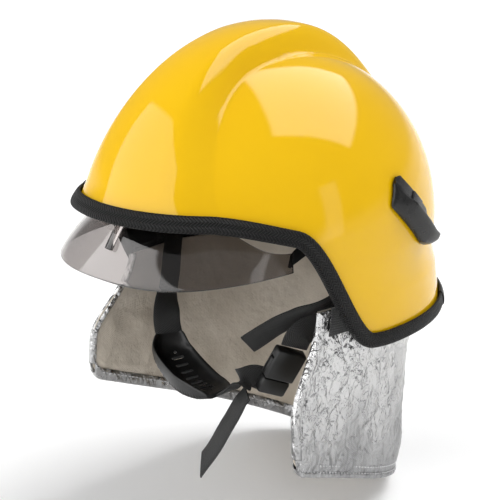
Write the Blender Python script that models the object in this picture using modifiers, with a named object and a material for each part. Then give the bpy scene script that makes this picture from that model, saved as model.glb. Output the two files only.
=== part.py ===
"""Firefighter helmet with a crested shell, a drop-down eye shield and a neck protector.

Metres, +Z up. The wearer faces -Y and +X is the wearer's left. The origin lies on the
centre line of the head opening, at the height of the brow.
"""

from math import acos, asin, atan2, cos, pi, radians, sin

import bmesh
import bpy
from mathutils import Matrix, Vector

# Shell
SHELL_HALF_WIDTH = 0.1155
SHELL_HALF_LENGTH = 0.1385
SHELL_CENTRE_Y = 0.0045
EQUATOR_Z = -0.029
DOME_HEIGHT = 0.129
WALL_SPAN = 0.062
SHELL_THICKNESS = 0.0032
SHELL_COLUMNS = 90
SHELL_ROWS = 16
BROW_EDGE_Z = 0.0010
SIDE_EDGE_Z = -0.0888
TEMPLE_FALL = (-57, 60, 0.28)
EAR_FALL = (-30, 25, 0.72)
CREST_HEIGHT = 0.0176
CREST_GROWTH_ANGLE = 66
CREST_BROW_HEIGHT = 0.0052
CREST_TOP_HALF_WIDTH = 0.029
CREST_BROW_HALF_WIDTH = 0.072
LIP_REACH = 0.016

# Edge trim
TRIM_SLOT_GAP = 0.0008
TRIM_FACE_HEIGHT = 0.0052
TRIM_DROP = 0.004
TRIM_FACE_THICKNESS = 0.0036
TRIM_INNER_LEG = 0.0022
GUARD_START = 40
GUARD_END = 140
GUARD_END_GAP = 0.2
GUARD_EXTRA = 0.001

# Liner and head
LINER_HALF_WIDTH = 0.097
LINER_HALF_LENGTH = 0.121
LINER_CENTRE_Y = 0.014
LINER_HEIGHT = 0.1235
LINER_THICKNESS = 0.012
LINER_EDGE_FRONT_Z = 0.041
LINER_EDGE_REAR_Z = 0.006
HEAD_CENTRE_Y = 0.013
HEAD_HALF_WIDTH = 0.0775
HEAD_HALF_LENGTH = 0.0965
HEAD_HEIGHT = 0.076

# Headband and its ratchet
BAND_HALF_WIDTH = 0.0795
BAND_HALF_LENGTH = 0.0995
BAND_THICKNESS = 0.0018
BAND_FRONT_Z = 0.012
BAND_REAR_Z = -0.022
BAND_FRONT_HALF_HEIGHT = 0.015
BAND_REAR_HALF_HEIGHT = 0.012
BAND_OPEN_ANGLE = 34
TAIL_RADIUS = 0.066
TAIL_CENTRE_Y = 0.0477
TAIL_HEIGHT = 0.005
TAIL_LANE = 0.008
TAIL_THICKNESS = 0.0014
PINION_RADIUS = 0.0046
KNOB_RADIUS = 0.017
KNOB_LENGTH = 0.011

# Eye shield
LENS_EDGE_Z = -0.034
LENS_CENTRE_Y = -0.045
LENS_HALF_WIDTH = 0.0915
LENS_REACH = 0.1025
LENS_NARROWING = 0.25
LENS_DIP = 0.004
LENS_LEAN = 0.675
LENS_END_ANGLE = 86
LENS_FRONT_RISE = 0.068
LENS_END_RISE = 0.012
LENS_THICKNESS = 0.002
VISOR_PIVOT_Y = -0.005
VISOR_PIVOT_Z = -0.005
ARM_X = 0.0843
ARM_THICKNESS = 0.002
WASHER_THICKNESS = 0.0015

# Side fittings
FRAME_THICKNESS = 0.0026
FRAME_GAP = 0.0016
BRACKET_RUN = (0.727, -0.687)
BRACKET_ACROSS = (0.687, 0.727)
BRACKET_START = 0.003
BRACKET_END = 0.063
BRACKET_STATIONS = 16
BRACKET_BASE = 0.0009
BRACKET_PLATE = 0.0026
BRACKET_MIDDLE = (0.031, 0.0275)
BRACKET_SCREWS = (0.020, 0.042)
LAMP_SEAT = (0.014, 0.010)
LAMP_SEAT_HEIGHT = 0.0026
SCREW_RADIUS = 0.002
SCREW_CLEARANCE = 0.0003

# Chin strap
WEBBING_WIDTH = 0.020
WEBBING_THICKNESS = 0.0016
ANCHOR_Y = 0.012
ANCHOR_Z = -0.040
ANCHOR_X = 0.1015
STRAP_START_X = 0.0988
BUCKLE_CENTRE = Vector((0.073, -0.048, -0.1045))
BUCKLE_AXIS = Vector((0.407, 0.224, 0.886)).normalized()
BUCKLE_ACROSS = Vector((0.327, 0.869, -0.370)).normalized()
BUCKLE_SIDE = Vector((-0.80, 0.40, 0.25)).normalized()
SOCKET_SIZE = (0.0225, 0.0095, 0.023)

# Neck protector
CLOTH_THICKNESS = 0.0012
LINING_GAP = 0.0014
PROTECTOR_TOP_Z = -0.064
PROTECTOR_FRONT_HEM_Z = -0.165
PROTECTOR_REAR_HEM_Z = -0.232
PROTECTOR_LIE = 0.005
PROTECTOR_DRIFT = 0.008

GAP = 0.0003
SEAT_GAP = 0.0009


# ---------------------------------------------------------------- scene helpers


def clear_scene():
    for obj in list(bpy.data.objects):
        bpy.data.objects.remove(obj, do_unlink=True)


def new_collection(name, hidden=False):
    collection = bpy.data.collections.new(name)
    collection.hide_render = hidden
    bpy.context.scene.collection.children.link(collection)
    return collection


def material(name, colour, roughness, metallic=0.0, transmission=0.0):
    made = bpy.data.materials.new(name)
    made.use_nodes = True
    shader = made.node_tree.nodes["Principled BSDF"]
    shader.inputs["Base Color"].default_value = (*colour, 1.0)
    shader.inputs["Roughness"].default_value = roughness
    shader.inputs["Metallic"].default_value = metallic
    shader.inputs["Transmission Weight"].default_value = transmission
    made.diffuse_color = (*colour, 1.0)
    return made


def finish_mesh(name, bm, paint, smooth_angle=35):
    """Turns the bmesh into an object of the helmet, with its faces pointing out."""
    bmesh.ops.recalc_face_normals(bm, faces=bm.faces)
    mesh = bpy.data.meshes.new(name)
    bm.to_mesh(mesh)
    bm.free()
    mesh.shade_smooth()
    mesh.set_sharp_from_angle(angle=radians(smooth_angle))
    obj = bpy.data.objects.new(name, mesh)
    obj.data.materials.append(paint)
    PARTS.objects.link(obj)
    return obj


def surface(name, rows, paint, thickness, offset):
    """An open grid of points, made solid. offset 1 thickens outwards, -1 inwards, 0 both ways."""
    bm = bmesh.new()
    grid = [[bm.verts.new(point) for point in row] for row in rows]
    count = len(grid[0])
    for low, high in zip(grid, grid[1:]):
        for i in range(count - 1):
            bm.faces.new((low[i], low[i + 1], high[i + 1], high[i]))
    mesh = bpy.data.meshes.new(name)
    bm.to_mesh(mesh)
    bm.free()
    mesh.shade_smooth()
    obj = bpy.data.objects.new(name, mesh)
    obj.data.materials.append(paint)
    PARTS.objects.link(obj)
    solidify = obj.modifiers.new("Solidify", "SOLIDIFY")
    solidify.thickness = thickness
    solidify.offset = offset
    solidify.use_even_offset = True
    return obj


def dome(name, columns, crown, paint, thickness):
    """A surface of columns that all run up to one crown point, thickened inwards."""
    bm = bmesh.new()
    grid = [[bm.verts.new(point) for point in column] for column in columns]
    top = bm.verts.new(crown)
    count = len(grid)
    for i, column in enumerate(grid):
        following = grid[(i + 1) % count]
        for j in range(len(column) - 1):
            bm.faces.new((column[j], following[j], following[j + 1], column[j + 1]))
        bm.faces.new((column[-1], following[-1], top))
    bmesh.ops.triangulate(bm, faces=bm.faces, quad_method="SHORT_EDGE")
    bmesh.ops.recalc_face_normals(bm, faces=bm.faces)
    mesh = bpy.data.meshes.new(name)
    bm.to_mesh(mesh)
    bm.free()
    mesh.shade_smooth()
    obj = bpy.data.objects.new(name, mesh)
    obj.data.materials.append(paint)
    PARTS.objects.link(obj)
    solidify = obj.modifiers.new("Solidify", "SOLIDIFY")
    solidify.thickness = thickness
    solidify.offset = -1
    return obj


def loft(name, sections, paint):
    """A solid through closed sections of equal length, capped at both ends."""
    bm = bmesh.new()
    rings = [[bm.verts.new(point) for point in section] for section in sections]
    count = len(rings[0])
    for low, high in zip(rings, rings[1:]):
        for i in range(count):
            j = (i + 1) % count
            bm.faces.new((low[i], low[j], high[j], high[i]))
    bm.faces.new(rings[0])
    bm.faces.new(reversed(rings[-1]))
    return finish_mesh(name, bm, paint)


def block(name, size, matrix, paint, bevel=0.0, segments=2):
    bm = bmesh.new()
    bmesh.ops.create_cube(bm, size=1.0)
    bmesh.ops.scale(bm, vec=size, verts=bm.verts)
    if bevel:
        bmesh.ops.bevel(
            bm, geom=bm.edges[:], offset=bevel, segments=segments, affect="EDGES", profile=0.5
        )
    obj = finish_mesh(name, bm, paint)
    obj.matrix_world = matrix
    return obj


def cylinder(name, radius, depth, matrix, paint, sides=20, top_radius=None):
    """A cylinder or cone along the matrix's Z, centred on its origin."""
    bm = bmesh.new()
    bmesh.ops.create_cone(
        bm,
        cap_ends=True,
        segments=sides,
        radius1=radius,
        radius2=radius if top_radius is None else top_radius,
        depth=depth,
    )
    obj = finish_mesh(name, bm, paint)
    obj.matrix_world = matrix
    return obj


def as_cutter(obj):
    PARTS.objects.unlink(obj)
    CUTTERS.objects.link(obj)
    obj.hide_render = True
    obj.display_type = "WIRE"
    return obj


def boolean(obj, other, operation):
    modifier = obj.modifiers.new("Boolean", "BOOLEAN")
    modifier.object = other
    modifier.operation = operation


def cut(obj, other):
    boolean(obj, as_cutter(other), "DIFFERENCE")


def join(obj, other):
    boolean(obj, as_cutter(other), "UNION")


def along_x(side, x, y, z):
    """A matrix whose Z points to the helmet's outside along X."""
    return Matrix.Translation((side * x, y, z)) @ Matrix.Rotation(side * pi / 2, 4, "Y")


def axes_matrix(origin, x_axis, y_axis, z_axis):
    matrix = Matrix((x_axis, y_axis, z_axis)).transposed().to_4x4()
    matrix.translation = origin
    return matrix


def smoothstep(value):
    value = min(max(value, 0.0), 1.0)
    return value * value * (3 - 2 * value)


def route(points, count):
    """Points along a smooth Catmull-Rom curve through the given ones."""
    knots = [Vector(p) for p in points]
    knots = [2 * knots[0] - knots[1], *knots, 2 * knots[-1] - knots[-2]]
    spans = len(points) - 1
    made = []
    for i in range(count + 1):
        at = i / count * spans
        k = min(int(at), spans - 1)
        t = at - k
        a, b, c, d = knots[k : k + 4]
        made.append(
            0.5
            * (
                2 * b
                + (c - a) * t
                + (2 * a - 5 * b + 4 * c - d) * t * t
                + (3 * b - a - 3 * c + d) * t**3
            )
        )
    return made


def webbing(name, points, across, paint, width=WEBBING_WIDTH, count=12):
    """A flat strap along a route. across lists its width direction at each route point."""
    centres = route(points, count)
    directions = route(across, count)
    rows = []
    for i, centre in enumerate(centres):
        ahead = centres[min(i + 1, count)] - centres[max(i - 1, 0)]
        side = directions[i] - directions[i].project(ahead)
        side.normalize()
        rows.append([centre - side * width / 2, centre, centre + side * width / 2])
    return surface(name, rows, paint, WEBBING_THICKNESS, 0)


# ---------------------------------------------------------------- shell geometry


def frontness(phi):
    return smoothstep((-sin(phi) - 0.35) / 0.5)


def rearness(phi):
    return smoothstep((sin(phi) + 0.2) / 0.8)


def profile_power(phi):
    """The side profile is a plain ellipse at the brow and fuller at the rear."""
    return 1.985 + 0.12 * sin(pi / 2 * min(max(sin(phi) / 0.65, -1), 1))


def dome_point(phi, tau):
    """The bare dome: tau runs from 0 at the crown to 1 at the equator, then down the wall."""
    if tau <= 1:
        power = 2 / profile_power(phi)
        radial = sin(tau * pi / 2) ** power
        z = EQUATOR_Z + DOME_HEIGHT * max(cos(tau * pi / 2), 0.0) ** power
        waist = 0.0
    else:
        radial = 1.0
        drop = (tau - 1) * WALL_SPAN
        z = EQUATOR_Z - drop
        flare = 0.0035 * smoothstep((drop - 0.012) / 0.045)
        waist = rearness(phi) * (flare - 0.0015 * sin(pi * min(drop / 0.03, 1.0)))
    x = (SHELL_HALF_WIDTH * radial + waist) * cos(phi)
    y = SHELL_CENTRE_Y + (SHELL_HALF_LENGTH * radial + waist) * sin(phi)
    return Vector((x, y, z))


def tau_at_height(phi, z):
    if z <= EQUATOR_Z:
        return 1 + (EQUATOR_Z - z) / WALL_SPAN
    return acos(((z - EQUATOR_Z) / DOME_HEIGHT) ** (profile_power(phi) / 2)) * 2 / pi


def edge_height(phi):
    """The shell's edge is level over the brow, dips at the temples, drops in front of the ears
    and runs level behind. Each fall has a start and a span in degrees, and its share."""
    from_front = abs((phi * 180 / pi + 90 + 180) % 360 - 180) - 90
    fall = 0.0
    for start, span, share in (TEMPLE_FALL, EAR_FALL):
        fall += share * smoothstep((from_front - start) / span)
    return BROW_EDGE_Z + (SIDE_EDGE_Z - BROW_EDGE_Z) * fall


def crest_height(point):
    """How far the crest stands out of the bare dome at this point."""
    rise = atan2(point.z - EQUATOR_Z, SHELL_CENTRE_Y - point.y)
    width_share = smoothstep(1 - rise / radians(75))
    half_width = CREST_TOP_HALF_WIDTH + (CREST_BROW_HALF_WIDTH - CREST_TOP_HALF_WIDTH) * width_share
    growth = smoothstep(rise / radians(CREST_GROWTH_ANGLE))
    height = CREST_BROW_HEIGHT + (CREST_HEIGHT - CREST_BROW_HEIGHT) * growth
    height *= 1 - smoothstep((rise - radians(95)) / radians(60))
    if rise < 0:
        height = CREST_BROW_HEIGHT if point.y < 0 else 0.0
    shoulder = 0.47
    across = (abs(point.x) / half_width - shoulder) / (1 - shoulder)
    if across >= 1:
        return 0.0
    crown_curve = 1 - 0.10 * (point.x / half_width) ** 2
    return height * crown_curve * (1 - max(across, 0.0) ** 2) ** 1.3


def bare_point(phi, tau):
    """The shell's outer surface with its crest but without the flared lip at the edge."""
    point = dome_point(phi, tau)
    up = max(point.z - EQUATOR_Z, 0.0) / DOME_HEIGHT**2
    outward = Vector(
        (point.x / SHELL_HALF_WIDTH**2, (point.y - SHELL_CENTRE_Y) / SHELL_HALF_LENGTH**2, up)
    )
    return point + outward.normalized() * crest_height(point)


def plan_normal(phi):
    return Vector((SHELL_HALF_LENGTH * cos(phi), SHELL_HALF_WIDTH * sin(phi), 0)).normalized()


def lip_size(phi):
    return 0.0006 + 0.0022 * frontness(phi)


def lip_flare(phi, distance):
    """How far the edge lip stands out, this far up from the shell's edge."""
    size = lip_size(phi)
    if distance > LIP_REACH:
        return 0.0
    if distance < 0:
        return size * (1 - 2 * distance / LIP_REACH)
    return size * (1 - distance / LIP_REACH) ** 2


def edge_frame(phi):
    """The edge point, and the directions along, out of and up from the edge."""
    step = radians(0.5)
    tau = tau_at_height(phi, edge_height(phi))
    here = bare_point(phi, tau)
    ahead = bare_point(phi + step, tau_at_height(phi + step, edge_height(phi + step)))
    behind = bare_point(phi - step, tau_at_height(phi - step, edge_height(phi - step)))
    along = (ahead - behind).normalized()
    rising = (bare_point(phi, tau - 0.02) - bare_point(phi, tau + 0.02)).normalized()
    out = along.cross(rising).normalized()
    up = out.cross(along).normalized()
    return here, along, out, up


def shell_point(phi, tau):
    edge_tau = tau_at_height(phi, edge_height(phi))
    point = bare_point(phi, tau)
    here, _, out, up = edge_frame(phi)
    distance = (point - here).dot(up) if tau < edge_tau else 0.0
    return point + plan_normal(phi) * lip_flare(phi, distance)


def wall_surface(y, z):
    """The left side wall's bare surface at this place, found by closing in on its plan angle."""
    sine = (y - SHELL_CENTRE_Y) / SHELL_HALF_LENGTH
    for _ in range(12):
        phi = asin(sine)
        point = dome_point(phi, tau_at_height(phi, z))
        sine += (y - point.y) / SHELL_HALF_LENGTH
    return Vector((point.x, y, z))


def wall_point(side, y, z, offset):
    """A point beside the shell's side wall, offset outwards along the wall's normal."""
    step = 0.001
    back = wall_surface(y + step, z) - wall_surface(y - step, z)
    rise = wall_surface(y, z + step) - wall_surface(y, z - step)
    point = wall_surface(y, z) + back.cross(rise).normalized() * offset
    return Vector((side * point.x, point.y, point.z))


# ---------------------------------------------------------------- shell and liner


def make_shell():
    columns = []
    for i in range(SHELL_COLUMNS):
        phi = 2 * pi * i / SHELL_COLUMNS
        edge_tau = tau_at_height(phi, edge_height(phi))
        shares = [1 - (1 - j / SHELL_ROWS) ** 1.25 for j in range(SHELL_ROWS)]
        columns.append([shell_point(phi, edge_tau * (1 - share)) for share in shares])
    crown = bare_point(0.0, 0.0)
    shell = dome("shell", columns, crown, PAINT["yellow"], SHELL_THICKNESS)
    for side in (1, -1):
        for y, z in screw_places():
            cut(shell, screw_hole(side, y, z))
    return shell


def trim_section(phi, face_height, thickness, drop):
    """A U section round the shell's edge, with its outer face flared like the lip."""
    here, _, out, up = edge_frame(phi)
    slope = atan2(2 * lip_size(phi), LIP_REACH)
    inner = SHELL_THICKNESS / cos(slope) + TRIM_SLOT_GAP
    floor = -0.0006 - SHELL_THICKNESS * sin(slope)
    drop = drop + SHELL_THICKNESS * sin(slope)
    top = face_height
    outline = (
        (TRIM_SLOT_GAP, top),
        (TRIM_SLOT_GAP + 0.0008, top + 0.0012),
        (TRIM_SLOT_GAP + 0.0024, top + 0.0006),
        (thickness, 0.35 * top),
        (thickness - 0.0002, -0.6 * drop),
        (thickness - 0.0022, -drop),
        (-inner, -drop),
        (-inner - TRIM_INNER_LEG, -0.5 * drop),
        (-inner - TRIM_INNER_LEG, 0.0045),
        (-inner, 0.0055),
        (-inner, floor),
        (TRIM_SLOT_GAP, floor),
    )
    section = []
    for outward, rise in outline:
        flare = lip_flare(phi, rise)
        section.append(here + out * (outward + flare) + up * rise)
    return section


def make_trim():
    step = 360 // SHELL_COLUMNS
    around = [radians(a) for a in range(GUARD_END, GUARD_START + 360 + 1, step)]
    sections = [
        trim_section(phi, TRIM_FACE_HEIGHT, TRIM_FACE_THICKNESS, TRIM_DROP) for phi in around
    ]
    loft("edge_trim", sections, PAINT["rubber"])
    between = range(GUARD_START + step, GUARD_END, step)
    around = [GUARD_START + GUARD_END_GAP, *between, GUARD_END - GUARD_END_GAP]
    sections = [
        trim_section(
            radians(a), TRIM_FACE_HEIGHT + GUARD_EXTRA, TRIM_FACE_THICKNESS + GUARD_EXTRA, TRIM_DROP
        )
        for a in around
    ]
    loft("rear_edge_guard", sections, PAINT["smooth_rubber"])


def liner_point(phi, z):
    height = (z - EQUATOR_Z) / LINER_HEIGHT
    radial = max(1 - height**2.2, 0.0) ** (1 / 2.2)
    x = LINER_HALF_WIDTH * radial * cos(phi)
    y = LINER_CENTRE_Y + LINER_HALF_LENGTH * radial * sin(phi)
    return Vector((x, y, z))


def make_liner():
    columns = []
    columns_around = 36
    rows = 6
    top_z = EQUATOR_Z + LINER_HEIGHT
    for i in range(columns_around):
        phi = 2 * pi * i / columns_around
        edge = LINER_EDGE_FRONT_Z + (LINER_EDGE_REAR_Z - LINER_EDGE_FRONT_Z) * rearness(phi)
        column = []
        for j in range(rows):
            share = sin(j / rows * pi / 2)
            column.append(liner_point(phi, edge + (top_z - edge) * share))
        columns.append(column)
    dome("impact_liner", columns, Vector((0, LINER_CENTRE_Y, top_z)), PAINT["foam"], LINER_THICKNESS)


# ---------------------------------------------------------------- headband


def band_height(phi):
    """Centre height and half height of the headband at this angle of its plan."""
    share = smoothstep((sin(phi) + 1) / 2)
    centre = BAND_FRONT_Z + (BAND_REAR_Z - BAND_FRONT_Z) * share
    half = BAND_FRONT_HALF_HEIGHT + (BAND_REAR_HALF_HEIGHT - BAND_FRONT_HALF_HEIGHT) * share
    return centre, half


def band_rows(start, end, inset, count, shift=0.0, grow=0.0):
    low = []
    high = []
    for i in range(count + 1):
        phi = radians(start + (end - start) * i / count)
        centre, half = band_height(phi)
        x = (BAND_HALF_WIDTH - inset) * cos(phi)
        y = HEAD_CENTRE_Y + (BAND_HALF_LENGTH - inset) * sin(phi)
        low.append(Vector((x, y, centre + shift - half - grow)))
        high.append(Vector((x, y, centre + shift + half + grow)))
    return [low, high]


def tail_point(angle, radius, z):
    return Vector((radius * sin(angle), TAIL_CENTRE_Y + radius * cos(angle), z))


def make_headband():
    start = -270 + BAND_OPEN_ANGLE
    end = 90 - BAND_OPEN_ANGLE
    surface("headband", band_rows(start, end, 0, 44), PAINT["black_plastic"], BAND_THICKNESS, -1)
    pad_inset = BAND_THICKNESS + GAP
    rows = band_rows(-155, -25, pad_inset, 20, shift=-0.002, grow=0.002)
    surface("brow_pad", rows, PAINT["leather"], 0.003, -1)

    for side, name in ((1, "headband_tail_left"), (-1, "headband_tail_right")):
        centre = BAND_REAR_Z + side * TAIL_LANE
        rows = [[], []]
        for i in range(15):
            angle = side * radians(38 - 46 * i / 14)
            rows[0].append(tail_point(angle, TAIL_RADIUS, centre - TAIL_HEIGHT / 2))
            rows[1].append(tail_point(angle, TAIL_RADIUS, centre + TAIL_HEIGHT / 2))
        surface(name, rows, PAINT["black_plastic"], TAIL_THICKNESS, 0)


def arc_solid(name, outline, half_angle, count, paint):
    """A section in (radius, height from the ratchet's centre), swept round the tails' centre."""
    sections = []
    for i in range(count + 1):
        angle = radians(half_angle * (2 * i / count - 1))
        sections.append([tail_point(angle, radius, BAND_REAR_Z + z) for radius, z in outline])
    return loft(name, sections, paint)


def make_ratchet():
    inner = TAIL_RADIUS - TAIL_THICKNESS / 2 - GAP
    outer = TAIL_RADIUS + TAIL_THICKNESS / 2 + GAP
    half = 0.0145
    lip = 0.0115
    base = ((inner, -half), (inner, half), (inner - 0.0016, half), (inner - 0.0016, -half))
    arc_solid("ratchet_base", base, 29, 10, PAINT["black_plastic"])
    wall = 0.0018
    cover = (
        (inner + GAP, -half),
        (outer + wall, -half),
        (outer + wall, half),
        (inner + GAP, half),
        (inner + GAP, lip),
        (outer, lip),
        (outer, -lip),
        (inner + GAP, -lip),
    )
    made = arc_solid("ratchet_cover", cover, 24, 10, PAINT["black_plastic"])
    spindle_y = TAIL_CENTRE_Y + outer
    turn = Matrix.Rotation(-pi / 2, 4, "X")
    hole = cylinder(
        "spindle_hole",
        0.0034,
        0.012,
        Matrix.Translation((0, spindle_y, BAND_REAR_Z)) @ turn,
        PAINT["black_plastic"],
    )
    cut(made, hole)

    knob_front = spindle_y + wall + GAP
    place = Matrix.Translation((0, knob_front + KNOB_LENGTH / 2, BAND_REAR_Z)) @ turn
    knob = cylinder(
        "ratchet_knob", KNOB_RADIUS, KNOB_LENGTH, place, PAINT["black_plastic"], 24, 0.0155
    )
    socket = cylinder(
        "knob_socket",
        0.0034,
        0.006,
        Matrix.Translation((0, knob_front, BAND_REAR_Z)) @ turn,
        PAINT["black_plastic"],
        12,
    )
    cut(knob, socket)
    pinion_y = TAIL_CENTRE_Y + TAIL_RADIUS
    pinion = cylinder(
        "ratchet_pinion",
        PINION_RADIUS,
        TAIL_THICKNESS,
        Matrix.Translation((0, pinion_y, BAND_REAR_Z)) @ turn,
        PAINT["steel"],
        16,
    )
    shaft_length = knob_front + 0.002 - pinion_y
    shaft = cylinder(
        "pinion_shaft",
        0.003,
        shaft_length,
        Matrix.Translation((0, pinion_y + shaft_length / 2, BAND_REAR_Z)) @ turn,
        PAINT["steel"],
        12,
    )
    join(pinion, shaft)
    rows = [[], []]
    for i in range(9):
        angle = radians(-26 + 52 * i / 8)
        rows[0].append(tail_point(angle, inner - 0.0016 - GAP, BAND_REAR_Z - 0.013))
        rows[1].append(tail_point(angle, inner - 0.0016 - GAP, BAND_REAR_Z + 0.013))
    surface("nape_pad", rows, PAINT["leather"], 0.004, 1)


def head_arc(plane_angle, clearance, start, end, count):
    """An arc over the head in an upright plane through its centre line."""
    points = []
    for i in range(count + 1):
        rise = radians(start + (end - start) * i / count)
        points.append(
            Vector(
                (
                    (HEAD_HALF_WIDTH + clearance) * cos(rise) * cos(plane_angle),
                    HEAD_CENTRE_Y + (HEAD_HALF_LENGTH + clearance) * cos(rise) * sin(plane_angle),
                    (HEAD_HEIGHT + clearance) * sin(rise),
                )
            )
        )
    return points


def make_cradle():
    straps = (
        ("cradle_strap_side", 0.0, 0.0010, 20, 160, Vector((0, 1, 0))),
        ("cradle_strap_front_rear", -pi / 2, 0.0032, 22, 176, Vector((1, 0, 0))),
    )
    for name, plane, clearance, start, end, across in straps:
        points = head_arc(plane, clearance, start, end, 18)
        webbing(name, points, [across] * len(points), PAINT["webbing"], 0.018, 18)
    clip_size = (0.016, 0.0026, 0.012)
    clips = (("left", 0), ("right", 180), ("front", -90))
    for name, degrees in clips:
        phi = radians(degrees)
        centre, half = band_height(phi)
        out = Vector((cos(phi), sin(phi), 0))
        reach = BAND_HALF_WIDTH if degrees in (0, 180) else BAND_HALF_LENGTH
        at = Vector((0, HEAD_CENTRE_Y, centre + half - 0.004)) + out * (reach + 0.0017)
        matrix = axes_matrix(at, Vector((0, 0, 1)).cross(out), -out, Vector((0, 0, 1)))
        block(f"cradle_clip_{name}", clip_size, matrix, PAINT["black_plastic"], 0.0006, 1)


# ---------------------------------------------------------------- eye shield


def lens_point(angle, rise):
    """A point of the lens, this far above its lower edge. The lower edge is squarer in plan."""
    power = 2.0 + 0.6 * (1 - smoothstep(rise / 0.030))
    half_width = LENS_HALF_WIDTH - LENS_NARROWING * rise
    reach = LENS_REACH - LENS_LEAN * rise
    x = abs(sin(angle)) ** (2 / power) * half_width
    y = LENS_CENTRE_Y - cos(angle) ** (2 / power) * reach
    dip = LENS_DIP * cos(angle) ** 2
    return Vector((x if angle > 0 else -x, y, LENS_EDGE_Z - dip + rise))


def make_lens():
    rows = [[] for _ in range(5)]
    count = 32
    for i in range(count + 1):
        angle = radians(LENS_END_ANGLE * (2 * i / count - 1))
        height = LENS_END_RISE + (LENS_FRONT_RISE - LENS_END_RISE) * cos(angle) ** 2
        for j, row in enumerate(rows):
            row.append(lens_point(angle, height * j / 4))
    surface("visor_lens", rows, PAINT["lens"], LENS_THICKNESS, -1)
    middle = 0.024
    lean = (lens_point(0.0, middle + 0.009) - lens_point(0.0, middle - 0.009)).normalized()
    out = lean.cross(Vector((1, 0, 0)))
    out = -out if out.y > 0 else out
    centre = lens_point(0.0, middle) + out * (0.0015 + GAP)
    matrix = axes_matrix(centre, lean.cross(out), out, lean)
    block("visor_grip", (0.006, 0.003, 0.018), matrix, PAINT["lens"], 0.0008)


def make_visor_arm(side, name):
    """A flat arm from the lens's end to the pivot, with a round eye at the pivot."""
    outline = []
    eye_radius = 0.0095
    for i in range(9):
        angle = radians(-60 + 165 * i / 8)
        outline.append(
            (VISOR_PIVOT_Y + eye_radius * cos(angle), VISOR_PIVOT_Z + eye_radius * sin(angle))
        )
    for rise in (0.010, 0.002):
        lens_end = lens_point(radians(LENS_END_ANGLE), rise)
        outline.append((lens_end.y, lens_end.z))
    sections = []
    for x in (ARM_X + GAP, ARM_X + GAP + ARM_THICKNESS):
        sections.append([Vector((side * x, y, z)) for y, z in outline])
    arm = loft(f"visor_arm_{name}", sections, PAINT["black_plastic"])
    hole = cylinder(
        f"arm_hole_{name}",
        0.0033,
        0.02,
        along_x(side, ARM_X, VISOR_PIVOT_Y, VISOR_PIVOT_Z),
        PAINT["black_plastic"],
        16,
    )
    cut(arm, hole)


def make_visor_pivot(side, name):
    arm_out = ARM_X + GAP + ARM_THICKNESS
    head_length = 0.0018
    head_x = ARM_X + GAP - GAP - head_length / 2
    place = along_x(side, head_x, VISOR_PIVOT_Y, VISOR_PIVOT_Z)
    bolt = cylinder(f"visor_pivot_bolt_{name}", 0.0062, head_length, place, PAINT["steel"], 16)
    shank_length = 0.0085
    shank = cylinder(
        f"pivot_shank_{name}",
        0.003,
        shank_length,
        along_x(side, head_x + shank_length / 2, VISOR_PIVOT_Y, VISOR_PIVOT_Z),
        PAINT["steel"],
        16,
    )
    join(bolt, shank)
    washer_x = arm_out + GAP + WASHER_THICKNESS / 2
    washer = cylinder(
        f"visor_washer_{name}",
        0.0075,
        WASHER_THICKNESS,
        along_x(side, washer_x, VISOR_PIVOT_Y, VISOR_PIVOT_Z),
        PAINT["steel"],
        16,
    )
    bore = cylinder(
        f"washer_bore_{name}",
        0.0033,
        0.01,
        along_x(side, washer_x, VISOR_PIVOT_Y, VISOR_PIVOT_Z),
        PAINT["steel"],
        16,
    )
    cut(washer, bore)


# ---------------------------------------------------------------- side fittings


def bracket_place(along, across):
    """The (y, z) place on the side wall of a point given by the bracket's own run and width."""
    y = along * BRACKET_RUN[0] + across * BRACKET_ACROSS[0]
    z = along * BRACKET_RUN[1] + across * BRACKET_ACROSS[1]
    return y, z


def screw_places():
    """Where two screws hold each lamp bracket, as (y, z) on the side wall."""
    return [bracket_place(along, BRACKET_MIDDLE[1]) for along in BRACKET_SCREWS]


def screw_matrix(side, y, z, depth):
    inner = wall_point(side, y, z, depth - 0.001)
    outer = wall_point(side, y, z, depth + 0.001)
    direction = (outer - inner).normalized()
    turn = direction.to_track_quat("Z", "Y").to_matrix().to_4x4()
    return Matrix.Translation(wall_point(side, y, z, depth)) @ turn


def screw_hole(side, y, z):
    reach = SHELL_THICKNESS + FRAME_GAP + FRAME_THICKNESS
    low = -reach - 0.004
    high = BRACKET_PLATE - 0.0006
    return cylinder(
        "screw_hole",
        SCREW_RADIUS + SCREW_CLEARANCE,
        high - low,
        screw_matrix(side, y, z, (low + high) / 2),
        PAINT["steel"],
        12,
    )


def make_side_frame(side, name):
    depth = -(SHELL_THICKNESS + FRAME_GAP)
    rows = []
    for i in range(9):
        z = -0.052 + 0.082 * i / 8
        row = [wall_point(side, -0.020 + 0.076 * j / 8, z, depth) for j in range(9)]
        rows.append(row if side > 0 else row[::-1])
    frame = surface(f"side_frame_{name}", rows, PAINT["black_plastic"], FRAME_THICKNESS, -1)
    boss_inner = ARM_X + GAP + ARM_THICKNESS + GAP + WASHER_THICKNESS + GAP
    boss_outer = 0.1070
    boss = cylinder(
        f"pivot_boss_{name}",
        0.0085,
        boss_outer - boss_inner,
        along_x(side, (boss_inner + boss_outer) / 2, VISOR_PIVOT_Y, VISOR_PIVOT_Z),
        PAINT["black_plastic"],
        20,
    )
    join(frame, boss)
    pocket = cylinder(
        f"pivot_pocket_{name}",
        0.0033,
        0.008,
        along_x(side, boss_inner, VISOR_PIVOT_Y, VISOR_PIVOT_Z),
        PAINT["black_plastic"],
        16,
    )
    cut(frame, pocket)
    for y, z in screw_places():
        cut(frame, screw_hole(side, y, z))


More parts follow.
